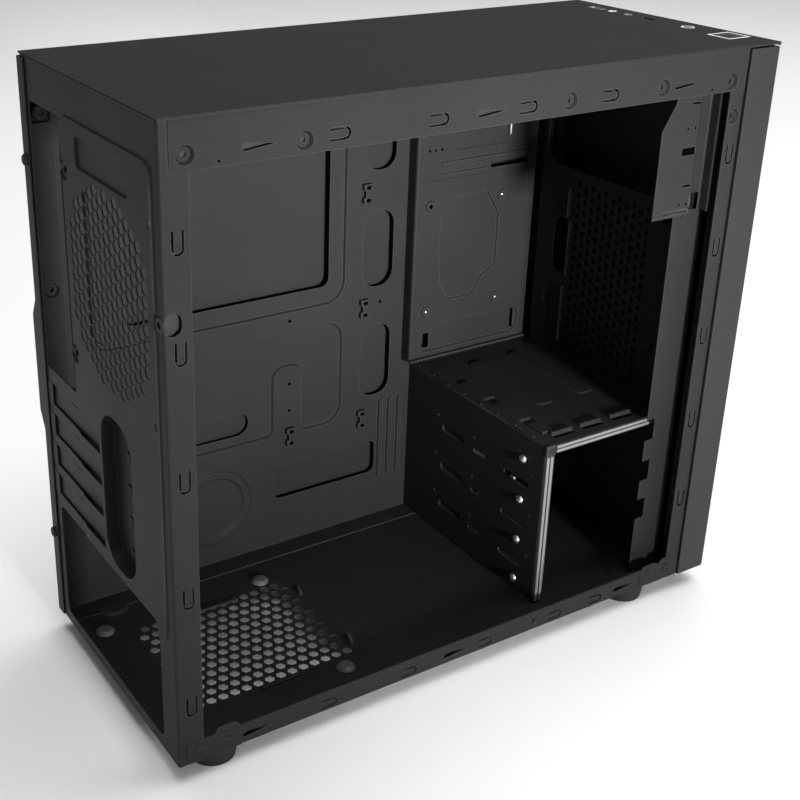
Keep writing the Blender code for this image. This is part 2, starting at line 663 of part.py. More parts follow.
def make_cage():
    wall_outline = [(TRAY_X - GAP, CAGE_REAR), (CAGE_LEFT, CAGE_REAR),
                    (CAGE_LEFT, CAGE_REAR - CAGE_HEM)]
    wall = fold("cage_rear_wall", wall_outline, 2, INNER_FLOOR, CAGE_TOP, "black_steel")
    cuts = bmesh.new()
    inner = CAGE_REAR - SHEET - GAP / 2
    add_box(cuts, (CAGE_LEFT - BEYOND, CAGE_REAR - BEYOND, CAGE_TOP - CAGE_EDGE - GAP),
            (TRAY_X + BEYOND, inner, CAGE_TOP + BEYOND))
    for z in pin_heights():
        add_rod(cuts, (CAGE_LEFT + PIN_IN, CAGE_REAR, z), 1, BEYOND, HOLE, 12)
    for z in pin_heights()[:-1]:
        low, high = (z - BAY_PITCH / 2 + side * CAGE_SLOT_HEIGHT / 2 for side in (-1, 1))
        for from_left, length in CAGE_SLOTS:
            x = CAGE_LEFT + from_left
            add_box(cuts, (x, CAGE_REAR - BEYOND / 2, low),
                    (x + length, CAGE_REAR + BEYOND / 2, high))
    shape(wall, "cuts", cuts)
    top_outline = [(CAGE_LEFT, CAGE_TOP - CAGE_EDGE), (CAGE_LEFT, CAGE_TOP),
                   (TRAY_X - GAP, CAGE_TOP)]
    front = WALL_Y + SHEET + 2 * GAP  # behind the front post's foot
    fold("cage_top", top_outline, 1, front, CAGE_REAR - SHEET - GAP, "black_steel")
    for number, z in enumerate(pin_heights(), 1):
        profile = [(0, PIN_HEAD), (HEAD * 0.53, PIN_HEAD * 0.88), (HEAD * 0.85, PIN_HEAD * 0.46),
                   (HEAD * 0.94, 0), (SHANK, 0), (SHANK, -PIN_LENGTH), (0, -PIN_LENGTH)]
        turned(f"drive_pin_{number}", profile, "bright_steel",
               (CAGE_LEFT + PIN_IN, CAGE_REAR + GAP, z), axis=1, steps=16)


def make_upper_bracket():
    rail_inside = FLANGE_LEFT + SHEET + GAP
    inner_bend, outer_bend, front = (SEAM + behind for behind in BRACKET_BENDS)
    outline = [(BRACKET_X, SEAM + BRACKET_REACH), (BRACKET_X, inner_bend),
               (rail_inside, outer_bend), (rail_inside, front)]
    low, high = TOP - BRACKET_DOWN, ROOF_UNDER - SHEET
    bracket = fold("upper_drive_bracket", outline, 2, low, high, "black_steel")

    cuts = bmesh.new()
    across = math.hypot(*BRACKET_CHAMFER)
    add_box(cuts, (-across, 0, -across * 3), (across, across * 3, across * 3))
    lean = math.atan2(*BRACKET_CHAMFER)
    middle = Vector((
        BRACKET_X,
        SEAM + BRACKET_REACH - BRACKET_CHAMFER[0] / 2,
        TOP - TOP_RAIL - BRACKET_CHAMFER_DOWN - BRACKET_CHAMFER[1] / 2,
    ))
    place = Matrix.Translation(middle) @ Matrix.Rotation(lean, 4, "X")
    bmesh.ops.transform(cuts, matrix=place, verts=cuts.verts)
    shape(bracket, "chamfer", cuts)

    slots = bmesh.new()
    y = SEAM + BRACKET_SLOT_BEHIND
    for down, length, height in BRACKET_SLOTS:
        z = TOP - down
        add_box(slots, (BRACKET_X - BEYOND / 4, y - length / 2, z - height / 2),
                (BRACKET_X + BEYOND / 4, y + length / 2, z + height / 2))
    shape(bracket, "slots", slots)


def make_right_panel():
    rear = REAR + GAP + SHEET
    outline = [(RIGHT, SEAM + GAP), (RIGHT, rear), (RIGHT - PANEL_FLANGE, rear)]
    panel = fold("right_side_panel", outline, 2, BOTTOM, PANEL_TOP, "black_steel")
    grip = bmesh.new()
    verts = add_box(grip, (RIGHT - SHEET / 2, rear - GRIP_DEPTH, GRIP_LOW),
                    (RIGHT + GRIP_PROUD, rear, GRIP_HIGH))
    for vert in verts:
        if vert.co.x > RIGHT:
            vert.co.z += math.copysign(GRIP_SLOPE, (GRIP_LOW + GRIP_HIGH) / 2 - vert.co.z)
            if vert.co.y < rear - GRIP_DEPTH / 2:
                vert.co.y += GRIP_DEPTH / 2
    shape(panel, "grip", grip, "UNION")
    holes = bmesh.new()
    for _, z in SIDE_SCREWS:
        add_rod(holes, (SIDE_SCREW_X, rear, z), 1, BEYOND / 4, HOLE, 12)
    shape(panel, "screw_holes", holes)
    for name, z in SIDE_SCREWS:
        turned(name, screw_profile(SIDE_SCREW_LENGTH), "black_steel",
               (SIDE_SCREW_X, rear, z), axis=1, steps=16)


def make_slot_covers():
    foot_face = PAN_FLOOR - SHEET - GAP
    screw_x = PAN_RIGHT - PAN_WIDTH / 2
    step_x = PAN_RIGHT + COVER_STEP
    for number, z in enumerate(SLOT_HEIGHTS, 1):
        outline = [(IO_RIGHT + COVER_OVERLAP, COVER_FACE), (step_x, COVER_FACE), (step_x, foot_face),
                   (PAN_RIGHT - COVER_FOOT, foot_face)]
        cover = fold(f"slot_cover_{number}", outline, 2, z - COVER_HEIGHT / 2,
                     z + COVER_HEIGHT / 2, "black_steel")
        hole = bmesh.new()
        add_rod(hole, (screw_x, foot_face, z), 1, BEYOND / 4, HOLE, 12)
        shape(cover, "screw_hole", hole)
        turned(f"slot_screw_{number}", screw_profile(SLOT_SCREW_LENGTH), "black_steel",
               (screw_x, PAN_FLOOR + GAP / 2, z), axis=1, steps=12)


def make_feet():
    height = FOOT_HEIGHT - GAP
    for name, x, y in foot_places():
        bore = HOLE + GAP
        floor = height - FOOT_BORE_DEPTH
        profile = [(0, floor), (bore, floor), (bore, height), (FOOT_RADIUS, height),
                   (FOOT_RADIUS, height - FOOT_BAND), (FOOT_BASE_RADIUS, 0), (0, 0)]
        turned(f"foot_{name}", profile, "rubber", (x, y, 0), steps=24)
        turned(f"foot_screw_{name}", screw_profile(FOOT_SCREW_LENGTH), "black_steel",
               (x, y, FLOOR_TOP + GAP), steps=12)


def make_supply_pads():
    profile = [(0, PAD_HEIGHT), (PAD_RADIUS * 0.85, PAD_HEIGHT), (PAD_RADIUS, PAD_HEIGHT * 0.6),
               (PAD_RADIUS, 0), (0, 0)]
    for row, y in PAD_ROWS:
        for side, x in PAD_SIDES:
            turned(f"supply_pad_{row}_{side}", profile, "rubber", (x, y, FLOOR_TOP + GAP))


def make_bezel():
    top = TOP - LIP_HEIGHT - GAP
    body = bmesh.new()
    verts = add_box(body, (LEFT, FRONT, BOTTOM), (RIGHT, SEAM - GAP, top))
    front_edges = {
        edge for vert in verts for edge in vert.link_edges
        if all(end.co.y < FRONT + PLASTIC for end in edge.verts)
    }
    bmesh.ops.bevel(body, geom=list(front_edges), offset=BEZEL_ROUND, segments=3, profile=0.5,
                    affect="EDGES")
    bezel = block("front_bezel", body, "black_plastic")
    inside = bmesh.new()
    add_box(inside, (LEFT + PLASTIC, FRONT + PLASTIC, BOTTOM + PLASTIC),
            (RIGHT - PLASTIC, SEAM + BEYOND, top + BEYOND))
    shape(bezel, "inside", inside)
    clips = bmesh.new()
    for x, z in clip_places():
        add_box(clips, (x - CLIP / 2, FRONT + PLASTIC / 2, z - CLIP / 2),
                (x + CLIP / 2, SEAM + CLIP_REACH, z + CLIP / 2))
    shape(bezel, "clips", clips, "UNION")
    intake = bmesh.new()
    pitch = (CASE_WIDTH - 4 * PLASTIC) / INTAKE_SLOTS
    for i in range(INTAKE_SLOTS):
        x = LEFT + 2 * PLASTIC + i * pitch
        add_box(intake, (x + INTAKE_BAR / 2, FRONT + 3 * PLASTIC, BOTTOM - BEYOND),
                (x + pitch - INTAKE_BAR / 2, SEAM - 3 * PLASTIC, BOTTOM + 2 * PLASTIC))
    shape(bezel, "intake", intake)


def square_cap(name, x, half, flange):
    """A square cap with a flange under its ring and a stem down to its switch."""
    bm = bmesh.new()
    add_box(bm, (x - half, ROW_Y - half, TOP - CAP_DEPTH), (x + half, ROW_Y + half, TOP))
    cap = block(name, bm, "black_plastic")
    ring = bmesh.new()
    add_box(ring, (x - flange, ROW_Y - half - FLANGE_PLAY, TOP - CAP_DEPTH - FLANGE_PLAY),
            (x + flange, ROW_Y + half + FLANGE_PLAY, TOP - CAP_DEPTH + CAP_FLANGE))
    shape(cap, "flange", ring, "UNION")
    stem = bmesh.new()
    add_rod(stem, (x, ROW_Y, TOP - CAP_DEPTH - STEM_LENGTH / 2), 2,
            STEM_LENGTH + CAP_FLANGE / 2, STEM_RADIUS, 12)
    shape(cap, "stem", stem, "UNION")


def make_power_button():
    outer, inner = POWER_RING / 2, POWER_RING / 2 - RING_WALL
    bottom = TOP - CAP_DEPTH + CAP_FLANGE + GAP
    bm = bmesh.new()
    add_box(bm, (POWER_X - outer, ROW_Y - outer, bottom), (POWER_X + outer, ROW_Y + outer, TOP))
    ring = block("power_light_ring", bm, "white_plastic")
    hole = bmesh.new()
    add_box(hole, (POWER_X - inner, ROW_Y - inner, bottom - BEYOND),
            (POWER_X + inner, ROW_Y + inner, TOP + BEYOND))
    shape(ring, "hole", hole)
    square_cap("power_button", POWER_X, inner - BUTTON_PLAY, inner + RING_WALL / 2)


def make_reset_button():
    outer = RESET_RING / 2
    inner = outer - RESET_WALL
    bottom = TOP - CAP_DEPTH + CAP_FLANGE + GAP
    tube = bmesh.new()
    add_rod(tube, (RESET_X, ROW_Y, (TOP + bottom) / 2), 2, TOP - bottom, outer, 24)
    ring = block("reset_ring", tube, "white_plastic")
    hole = bmesh.new()
    add_rod(hole, (RESET_X, ROW_Y, TOP), 2, BEYOND, inner, 24)
    shape(ring, "hole", hole)
    cap = inner - BUTTON_PLAY
    base = CAP_DEPTH + STEM_LENGTH
    profile = [(0, 0), (cap, 0), (cap, -CAP_DEPTH + CAP_FLANGE),
               (outer - 0.4 * MM, -CAP_DEPTH + CAP_FLANGE), (outer - 0.4 * MM, -CAP_DEPTH),
               (STEM_RADIUS * 0.8, -CAP_DEPTH), (STEM_RADIUS * 0.8, -base), (0, -base)]
    turned("reset_button", profile, "black_plastic", (RESET_X, ROW_Y, TOP))


def make_controls():
    """Board, switches, sockets and jacks under the top cover's front edge."""
    left, right = POWER_X - POWER_RING / 2, USB_CENTRES[0] + USB_SIZE[0]
    board = bmesh.new()
    half = BOARD_WIDTH / 2
    add_box(board, (left, ROW_Y - half, BOARD_TOP - BOARD_THICKNESS),
            (right, ROW_Y + half, BOARD_TOP))
    block("control_board", board, "circuit_board")
    holder = bmesh.new()
    base = BOARD_TOP - BOARD_THICKNESS - GAP
    add_box(holder, (left - 2 * HOUSING_WALL, ROW_Y - half, base - HOUSING_WALL),
            (right + 2 * HOUSING_WALL, ROW_Y + half, base))
    housing = block("control_housing", holder, "black_plastic")
    ends = bmesh.new()
    for x in (left - 2 * HOUSING_WALL, right + HOUSING_WALL):
        add_box(ends, (x, ROW_Y - half, base - HOUSING_WALL / 2),
                (x + HOUSING_WALL, ROW_Y + half, TOP - SHEET - GAP))
    shape(housing, "ends", ends, "UNION")
    switch_top = TOP - CAP_DEPTH - STEM_LENGTH - CAP_FLANGE / 2 - BUTTON_TRAVEL - BUTTON_PLAY
    for name, x in (("power_switch", POWER_X), ("reset_switch", RESET_X)):
        body = bmesh.new()
        half_side = SWITCH_SIDE / 2
        add_box(body, (x - half_side, ROW_Y - half_side, BOARD_TOP + GAP),
                (x + half_side, ROW_Y + half_side, switch_top - SWITCH_SHOULDER))
        switch = block(name, body, "black_plastic")
        plunger = bmesh.new()
        middle = (switch_top + BOARD_TOP + 2 * GAP) / 2
        add_rod(plunger, (x, ROW_Y, middle), 2, switch_top - BOARD_TOP - 2 * GAP,
                PLUNGER_RADIUS, 12)
        shape(switch, "plunger", plunger, "UNION")
    for number, (x, kind) in enumerate(zip(USB_CENTRES, ("bright_steel", "black_plastic")), 1):
        make_usb_socket(f"usb_socket_{number}", x, kind)
    for name, x in zip(("microphone_jack", "headphone_jack"), JACK_CENTRES):
        make_jack(name, x)


def make_usb_socket(name, x, kind):
    body = bmesh.new()
    half_x, half_y = USB_SIZE[0] / 2, USB_SIZE[1] / 2
    add_box(body, (x - half_x, ROW_Y - half_y, BOARD_TOP + GAP), (x + half_x, ROW_Y + half_y, TOP))
    socket = block(name, body, kind)
    mouth = bmesh.new()
    mouth_x, mouth_y = USB_MOUTH[0] / 2, USB_MOUTH[1] / 2
    add_box(mouth, (x - mouth_x, ROW_Y - mouth_y, TOP - USB_FLOOR),
            (x + mouth_x, ROW_Y + mouth_y, TOP + BEYOND))
    shape(socket, "mouth", mouth)
    tongue = bmesh.new()
    tongue_x = mouth_x * USB_TONGUE_WIDTH
    add_box(tongue, (x - tongue_x, ROW_Y + mouth_y * USB_TONGUE_FROM, TOP - USB_FLOOR - SHEET),
            (x + tongue_x, ROW_Y + mouth_y * USB_TONGUE_TO, TOP - USB_TONGUE_DOWN))
    shape(socket, "tongue", tongue, "UNION")


def make_jack(name, x):
    depth = TOP - BOARD_TOP - GAP
    profile = [(0, -depth + SHEET), (JACK_BORE, -depth + SHEET), (JACK_BORE, 0),
               (JACK_RADIUS, 0), (JACK_RADIUS, -depth), (0, -depth)]
    turned(name, profile, "white_plastic", (x, ROW_Y, TOP))


clear_scene()
PARTS = collection("desktop_computer_tower")
CUTTERS = collection("cutters")
make_roof()
make_floor()
make_rear_panel()
make_front_wall()
make_post()
make_tray()
make_ssd_plate()
make_cage()
make_upper_bracket()
make_right_panel()
make_slot_covers()
make_feet()
make_supply_pads()
make_bezel()
make_power_button()
make_reset_button()
make_controls()
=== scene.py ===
"""Looks of the empty desktop computer tower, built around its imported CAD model.

Shapes are worked out in millimetres from the middle of the steel body: X and Y from its middle,
Z from its underside. The front faces -Y and the open left side faces -X.
"""

import math

import bmesh
import bpy
from mathutils import Euler, Matrix, Vector
from mathutils.geometry import delaunay_2d_cdt


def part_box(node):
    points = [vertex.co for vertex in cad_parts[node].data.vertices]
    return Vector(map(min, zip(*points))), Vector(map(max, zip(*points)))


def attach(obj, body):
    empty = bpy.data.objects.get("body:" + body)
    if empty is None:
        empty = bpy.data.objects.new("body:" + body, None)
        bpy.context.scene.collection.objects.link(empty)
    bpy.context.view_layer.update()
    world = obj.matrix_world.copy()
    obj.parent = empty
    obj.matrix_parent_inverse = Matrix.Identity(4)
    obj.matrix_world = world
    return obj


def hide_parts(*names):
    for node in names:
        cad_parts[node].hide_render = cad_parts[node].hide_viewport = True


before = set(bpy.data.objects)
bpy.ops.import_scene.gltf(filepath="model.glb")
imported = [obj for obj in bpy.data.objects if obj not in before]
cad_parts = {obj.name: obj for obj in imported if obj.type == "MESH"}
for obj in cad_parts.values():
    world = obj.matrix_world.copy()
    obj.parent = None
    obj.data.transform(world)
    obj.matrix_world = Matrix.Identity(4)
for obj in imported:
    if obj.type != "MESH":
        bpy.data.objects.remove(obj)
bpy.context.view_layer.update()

MM = 0.001
NOTHING = 1e-6

# The body's frame, from the CAD model
ROOF_LOW, ROOF_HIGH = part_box("top_cover")
BEZEL_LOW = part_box("front_bezel")[0]
ORIGIN = Vector(((ROOF_LOW[0] + ROOF_HIGH[0]) / 2, (BEZEL_LOW[1] + ROOF_HIGH[1]) / 2,
                 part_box("floor_pan")[0][2]))


def body_box(node):
    """(lowest corner, highest corner) of a CAD node in millimetres in the body's frame."""
    low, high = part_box(node)
    return (Vector(low) - ORIGIN) / MM, (Vector(high) - ORIGIN) / MM


SHEET = 0.8
GAP = 0.3
LEFT, FRONT_EDGE = body_box("top_cover")[0][0], body_box("top_cover")[0][1]
RIGHT, REAR, TOP = body_box("top_cover")[1]
SEAM = body_box("front_wall")[0][1]
FLANGE_LEFT, FLANGE_RIGHT = body_box("floor_pan")[0][0], body_box("floor_pan")[1][0]
LIP = 2.2
TOP_RAIL = TOP - body_box("top_cover")[0][2]
BOTTOM_RAIL = body_box("floor_pan")[1][2]
FRONT_RAIL = 11.8
REAR_RAIL = 15.3
RAIL_FRONT = SEAM + SHEET + GAP
RAIL_END = REAR - 5.6
ROOF_UNDER = body_box("rear_panel")[1][2]
TRAY_X = body_box("motherboard_tray")[1][0] - SHEET
TRAY_FRONT, TRAY_REAR = body_box("motherboard_tray")[0][1], body_box("motherboard_tray")[1][1]
PLATE_X = body_box("ssd_plate")[0][0] + 3
PLATE_REAR = body_box("ssd_plate")[1][1]
PLATE_LOW, PLATE_HIGH = body_box("ssd_plate")[0][2], body_box("ssd_plate")[1][2]
WALL_Y = body_box("front_post")[0][1] - GAP
POST_X = body_box("front_post")[0][0]
CAGE_LEFT = body_box("cage_rear_wall")[0][0]
CAGE_REAR = body_box("cage_rear_wall")[1][1]
CAGE_TOP = body_box("cage_rear_wall")[1][2]
FLOOR_TOP = SHEET

# Standard sizes that the body is cut for
SLOT_PITCH = 20.32
SLOT_HEIGHTS = [161.5 - SLOT_PITCH * i for i in range(4)]
SLOT_SCREW_HEIGHTS = [round(z, 1) for z in SLOT_HEIGHTS]
BAY_PITCH = 30
FAN_SCREW = 105 / 2  # from a 120 mm fan's middle to its screws

BEND_STEPS = 4
HEIGHT_STEPS = (0.0, 0.3, 0.7, 1.0)  # shares of a pressing's slope
CRISP = 35  # degrees between faces shaded apart

MATERIALS = {}


# Outlines -----------------------------------------------------------


def signed_area(loop):
    return sum(a[0] * b[1] - b[0] * a[1] for a, b in zip(loop, loop[1:] + loop[:1])) / 2


def rounded(corners, radius, grow=0.0, steps=5):
    """A closed outline with rounded corners, grown outward (or inward when negative)."""
    corners = [Vector(c) for c in corners]
    count = len(corners)
    radii = list(radius) if isinstance(radius, (list, tuple)) else [radius] * count
    if signed_area(corners) < 0:
        corners.reverse()
        radii.reverse()
    moved = []
    for i, corner in enumerate(corners):
        before = (corner - corners[i - 1]).normalized()
        after = (corners[(i + 1) % count] - corner).normalized()
        out = Vector((before.y, -before.x)) + Vector((after.y, -after.x))
        moved.append(corner + out * (grow / max(0.2, out.dot(out) / 2)))
    loop = []
    for i, corner in enumerate(moved):
        before = (corner - moved[i - 1]).normalized()
        after = (moved[(i + 1) % count] - corner).normalized()
        turn = math.atan2(before.cross(after), before.dot(after))
        bend = radii[i] + (grow if turn > 0 else -grow)
        reach = max(0.0, bend) * math.tan(abs(turn) / 2)
        room = 0.49 * min((corner - moved[i - 1]).length, (moved[(i + 1) % count] - corner).length)
        reach = min(reach, room)
        if reach < 0.05:
            loop.append(corner)
            continue
        bend = reach / math.tan(abs(turn) / 2)
        side = Vector((-before.y, before.x)) * math.copysign(bend, turn)
        centre = corner - before * reach + side
        arm = -side
        for k in range(steps + 1):
            angle = turn * k / steps
            swung = Vector((arm.x * math.cos(angle) - arm.y * math.sin(angle),
                            arm.x * math.sin(angle) + arm.y * math.cos(angle)))
            loop.append(centre + swung)
    return [tuple(p) for p in loop]


def box(u0, v0, u1, v1):
    return [(u0, v0), (u1, v0), (u1, v1), (u0, v1)]


def rectangle(at, u0, v0, u1, v1):
    """The corners of a box, each placed along a fold by at."""
    return [at(*corner) for corner in box(u0, v0, u1, v1)]


def disc(u, v, radius, steps=16, turn=0.0):
    return [(u + radius * math.cos(turn + math.tau * i / steps),
             v + radius * math.sin(turn + math.tau * i / steps)) for i in range(steps)]


def hexagon(u, v, radius):
    return disc(u, v, radius, 6, math.pi / 6)


def pill(u0, v0, u1, v1, steps=6):
    return rounded(box(u0, v0, u1, v1), min(u1 - u0, v1 - v0) / 2 * 0.98, steps=steps)


def turned(loop, centre, angle):
    """The outline turned about the origin by an angle in degrees, then moved to centre."""
    c, s = math.cos(math.radians(angle)), math.sin(math.radians(angle))
    return [(centre[0] + u * c - v * s, centre[1] + u * s + v * c) for u, v in loop]


def hook_slot(centre, angle, length=12, width=6.6, slot=1.25):
    """A U-shaped slot whose closed end points along +u before it is turned."""
    outer, inner = width / 2, width / 2 - slot
    start, bend = -length / 2, length / 2 - outer
    steps = 8
    loop = [(start, -outer)]
    loop += [(bend + outer * math.sin(math.pi * i / steps), -outer * math.cos(math.pi * i / steps))
             for i in range(steps + 1)]
    loop += [(start, outer), (start, inner)]
    loop += [(bend + inner * math.sin(math.pi * i / steps), inner * math.cos(math.pi * i / steps))
             for i in range(steps + 1)]
    loop += [(start, -inner)]
    return turned(loop, centre, angle)


def teardrop(length=18, radius=1.9):
    """Rounded at its end along +u and pointed at the other."""
    steps = 8
    loop = [(length / 2 - radius + radius * math.sin(math.pi * i / steps),
             -radius * math.cos(math.pi * i / steps)) for i in range(steps + 1)]
    return loop + [(-length / 2, 0)]


# Folded and pressed sheet -------------------------------------------


class Fold:
    """The outer side of a bent sheet, as an outline across it. The metal lies to its left."""

    def __init__(self, axis, corners, bends=1.4, inner_bend=0.4):
        self.axis = axis
        corners = [Vector(c) for c in corners]
        first = (corners[1] - corners[0]).normalized()
        last = (corners[-1] - corners[-2]).normalized()
        points = [(corners[0], Vector((first.y, -first.x)))]
        self.creases = []
        for before, corner, after in zip(corners, corners[1:], corners[2:]):
            d0, d1 = (corner - before).normalized(), (after - corner).normalized()
            turn = math.atan2(d0.cross(d1), d0.dot(d1))
            bend = bends if turn > 0 else inner_bend
            room = 0.45 * min((corner - before).length, (after - corner).length)
            reach = min(bend * math.tan(abs(turn) / 2), room)
            bend = reach / math.tan(abs(turn) / 2)
            side = Vector((-d0.y, d0.x)) * math.copysign(bend, turn)
            centre = corner - d0 * reach + side
            for k in range(BEND_STEPS + 1):
                angle = turn * k / BEND_STEPS
                arm = Matrix.Rotation(angle, 2) @ -side
                points.append((centre + arm, Matrix.Rotation(angle, 2) @ Vector((d0.y, -d0.x))))
                self.creases.append(len(points) - 1)
        points.append((corners[-1], Vector((last.y, -last.x))))
        self.points = points
        self.lengths = [0.0]
        for (a, _), (b, _) in zip(points, points[1:]):
            self.lengths.append(self.lengths[-1] + (b - a).length)
        self.end = self.lengths[-1]

    def s(self, spot):
        """How far along the outline the nearest place to spot lies."""
        spot = Vector(spot)
        best = (math.inf, 0.0)
        for (a, _), (b, _), start in zip(self.points, self.points[1:], self.lengths):
            along = b - a
            share = max(0.0, min(1.0, (spot - a).dot(along) / along.length_squared))
            away = (a + along * share - spot).length
            if away < best[0]:
                best = (away, start + share * along.length)
        return best[1]

    def place(self, s, v, height):
        s = max(0.0, min(self.end, s))
        i = 0
        while i < len(self.lengths) - 2 and self.lengths[i + 1] < s:
            i += 1
        (a, na), (b, nb) = self.points[i], self.points[i + 1]
        share = (s - self.lengths[i]) / (self.lengths[i + 1] - self.lengths[i])
        normal = na.lerp(nb, share).normalized()
        spot = a.lerp(b, share) + normal * height
        if self.axis == "Y":
            return Vector((spot.x, v, spot.y))
        return Vector((spot.x, spot.y, v))


def inside(point, loop):
    u, v = point
    within = False
    for (u0, v0), (u1, v1) in zip(loop, loop[1:] + loop[:1]):
        if (v0 > v) != (v1 > v) and u < u0 + (v - v0) * (u1 - u0) / (v1 - v0):
            within = not within
    return within


def pressing(corners, radius, height, slope, steps=5):
    """A pressed area: outlines from its edge inward with their heights, rising smoothly."""
    rings = []
    for share in HEIGHT_STEPS:
        ring = rounded(corners, radius, -slope * share, steps)
        rings.append((ring, height * (3 * share**2 - 2 * share**3)))
    return rings


def dimple(u, v, radius, height, slope, steps=16):
    rings = []
    for share in HEIGHT_STEPS:
        ring = disc(u, v, radius - slope * share, steps)
        rings.append((ring, height * (3 * share**2 - 2 * share**3)))
    return rings


def to_object(name, bm):
    """A mesh object in metres in the CAD model's frame, from a mesh in the body's millimetres."""
    bmesh.ops.transform(bm, matrix=Matrix.Translation(ORIGIN) @ Matrix.Scale(MM, 4), verts=bm.verts)
    mesh = bpy.data.meshes.new(name)
    bm.to_mesh(mesh)
    bm.free()
    obj = bpy.data.objects.new(name, mesh)
    bpy.context.scene.collection.objects.link(obj)
    return obj


def dress(obj, slot, material=None, bevel=0.2):
    """Edge rounding, shading, material and body of a finished piece."""
    if bevel:
        edge = obj.modifiers.new("edges", "BEVEL")
        edge.width = bevel * MM
        edge.segments = 2
        edge.limit_method = "ANGLE"
        edge.angle_limit = math.radians(50)
        edge.use_clamp_overlap = False
        edge.harden_normals = False
    flatten = obj.modifiers.new("flats", "WEIGHTED_NORMAL")
    flatten.keep_sharp = True
    flatten.weight = 100
    for polygon in obj.data.polygons:
        polygon.use_smooth = True
    obj.data.set_sharp_from_angle(angle=math.radians(CRISP))
    obj.data.materials.clear()
    obj.data.materials.append(MATERIALS[material or slot])
    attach(obj, "chassis")
    return obj


def sheet(name, fold, outline, holes=(), pressings=(), merge=True):
    """Folded steel with holes and pressed areas, all drawn in (s, v) along the fold.

    Flat triangles are merged, unless a long rail full of slots would give a face that can't be drawn.
    """
    loops = [(outline, [0.0] * len(outline))]
    areas = []

    def height_at(point):
        for ring, height in reversed(areas):
            if inside(point, ring):
                return height
        return 0.0

    for rings in pressings:
        base = height_at(rings[0][0][0])
        for ring, height in rings:
            loops.append((ring, [base + height] * len(ring)))
        areas.append((rings[-1][0], base + rings[-1][1]))
    first_hole = len(loops)
    for hole in holes:
        loops.append((hole, [height_at(p) for p in hole]))

    points, heights, edges, faces = [], [], [], []
    for loop, levels in loops:
        if signed_area(loop) < 0:
            loop, levels = loop[::-1], levels[::-1]
        start = len(points)
        points += [Vector(p) for p in loop]
        heights += levels
        ring = list(range(start, start + len(loop)))
        edges += list(zip(ring, ring[1:] + ring[:1]))
        faces.append(ring)
    v_low = min(p[1] for p in outline) - 1
    v_high = max(p[1] for p in outline) + 1
    for i in fold.creases:
        s = fold.lengths[i]
        edges.append((len(points), len(points) + 1))
        points += [Vector((s, v_low)), Vector((s, v_high))]
        heights += [0.0, 0.0]
    made = delaunay_2d_cdt(points, edges, faces, 0, 1e-4, True)
    new_points, _, triangles, old_points, _, owners = made
    levels = []
    for spot, old in zip(new_points, old_points):
        known = [heights[i] for i in old if i < len(heights)]
        levels.append(max(known, key=abs) if known else height_at(spot))
    bm = bmesh.new()
    outer = [bm.verts.new(fold.place(p.x, p.y, h)) for p, h in zip(new_points, levels)]
    inner = [bm.verts.new(fold.place(p.x, p.y, h - SHEET)) for p, h in zip(new_points, levels)]
    flip = fold.axis == "Y"
    kept = []
    for triangle, owner in zip(triangles, owners):
        if 0 not in owner or any(i >= first_hole for i in owner):
            continue
        order = triangle[::-1] if flip else triangle
        kept.append(order)
        bm.faces.new([outer[i] for i in order])
        bm.faces.new([inner[i] for i in reversed(order)])
    sides = {}
    for order in kept:
        for a, b in zip(order, order[1:] + order[:1]):
            sides[(a, b)] = True
    for a, b in sides:
        if (b, a) not in sides:
            bm.faces.new((outer[b], outer[a], inner[a], inner[b]))
    loose = [v for v in bm.verts if not v.link_faces]
    bmesh.ops.delete(bm, geom=loose, context="VERTS")
    if merge:
        bmesh.ops.dissolve_limit(bm, angle_limit=0.0005, verts=bm.verts, edges=bm.edges)
    return to_object(name, bm)


# Small pieces -------------------------------------------------------


def add_lathe(bm, profile, place, axis, steps=20, flip=False):
    """A turned shape from (radius, height) points, closed at both ends on its axis."""
    turn = {"X": Matrix.Rotation(math.pi / 2, 4, "Y"), "Y": Matrix.Rotation(-math.pi / 2, 4, "X"),
            "Z": Matrix.Identity(4)}[axis]
    if flip:
        turn = Matrix.Rotation(math.pi, 4, "X" if axis != "X" else "Y") @ turn
    move = Matrix.Translation(place) @ turn
    rings = []
    for radius, height in profile:
        if radius < NOTHING:
            rings.append([bm.verts.new(move @ Vector((0, 0, height)))])
            continue
        rings.append([bm.verts.new(move @ Vector((radius * math.cos(math.tau * i / steps),
                                                  radius * math.sin(math.tau * i / steps),
                                                  height))) for i in range(steps)])
    for low, high in zip(rings, rings[1:]):
        for i in range(steps):
            j = (i + 1) % steps
            corners = [low[i % len(low)], low[j % len(low)], high[j % len(high)],
                       high[i % len(high)]]
            unique = list(dict.fromkeys(corners))
            if len(unique) > 2:
                bm.faces.new(unique)
    bmesh.ops.recalc_face_normals(bm, faces=bm.faces)


def add_slab(bm, low, high, radius=0.4, segments=2):
    """A block with rounded edges."""
    low, high = Vector(low), Vector(high)
    size = high - low
    place = Matrix.Translation((low + high) / 2) @ Matrix.Diagonal((*size, 1))
    verts = bmesh.ops.create_cube(bm, size=1, matrix=place)["verts"]
    edges = list({edge for vert in verts for edge in vert.link_edges})
    radius = min(radius, 0.45 * min(size))
    bmesh.ops.bevel(bm, geom=edges, offset=radius, segments=segments, profile=0.5, affect="EDGES")


def add_plate(bm, outline, axis, low, high):
    """A flat plate: an outline across an axis, between two places along it."""
    def spot(u, v, w):
        return {"X": (w, u, v), "Y": (u, w, v), "Z": (u, v, w)}[axis]
    ends = [[bm.verts.new(spot(u, v, w)) for u, v in outline] for w in (low, high)]
    faces = [bm.faces.new(ends[0]), bm.faces.new(ends[1])]
    for i in range(len(outline)):
        j = (i + 1) % len(outline)
        faces.append(bm.faces.new((ends[0][i], ends[0][j], ends[1][j], ends[1][i])))
    bmesh.ops.recalc_face_normals(bm, faces=faces)


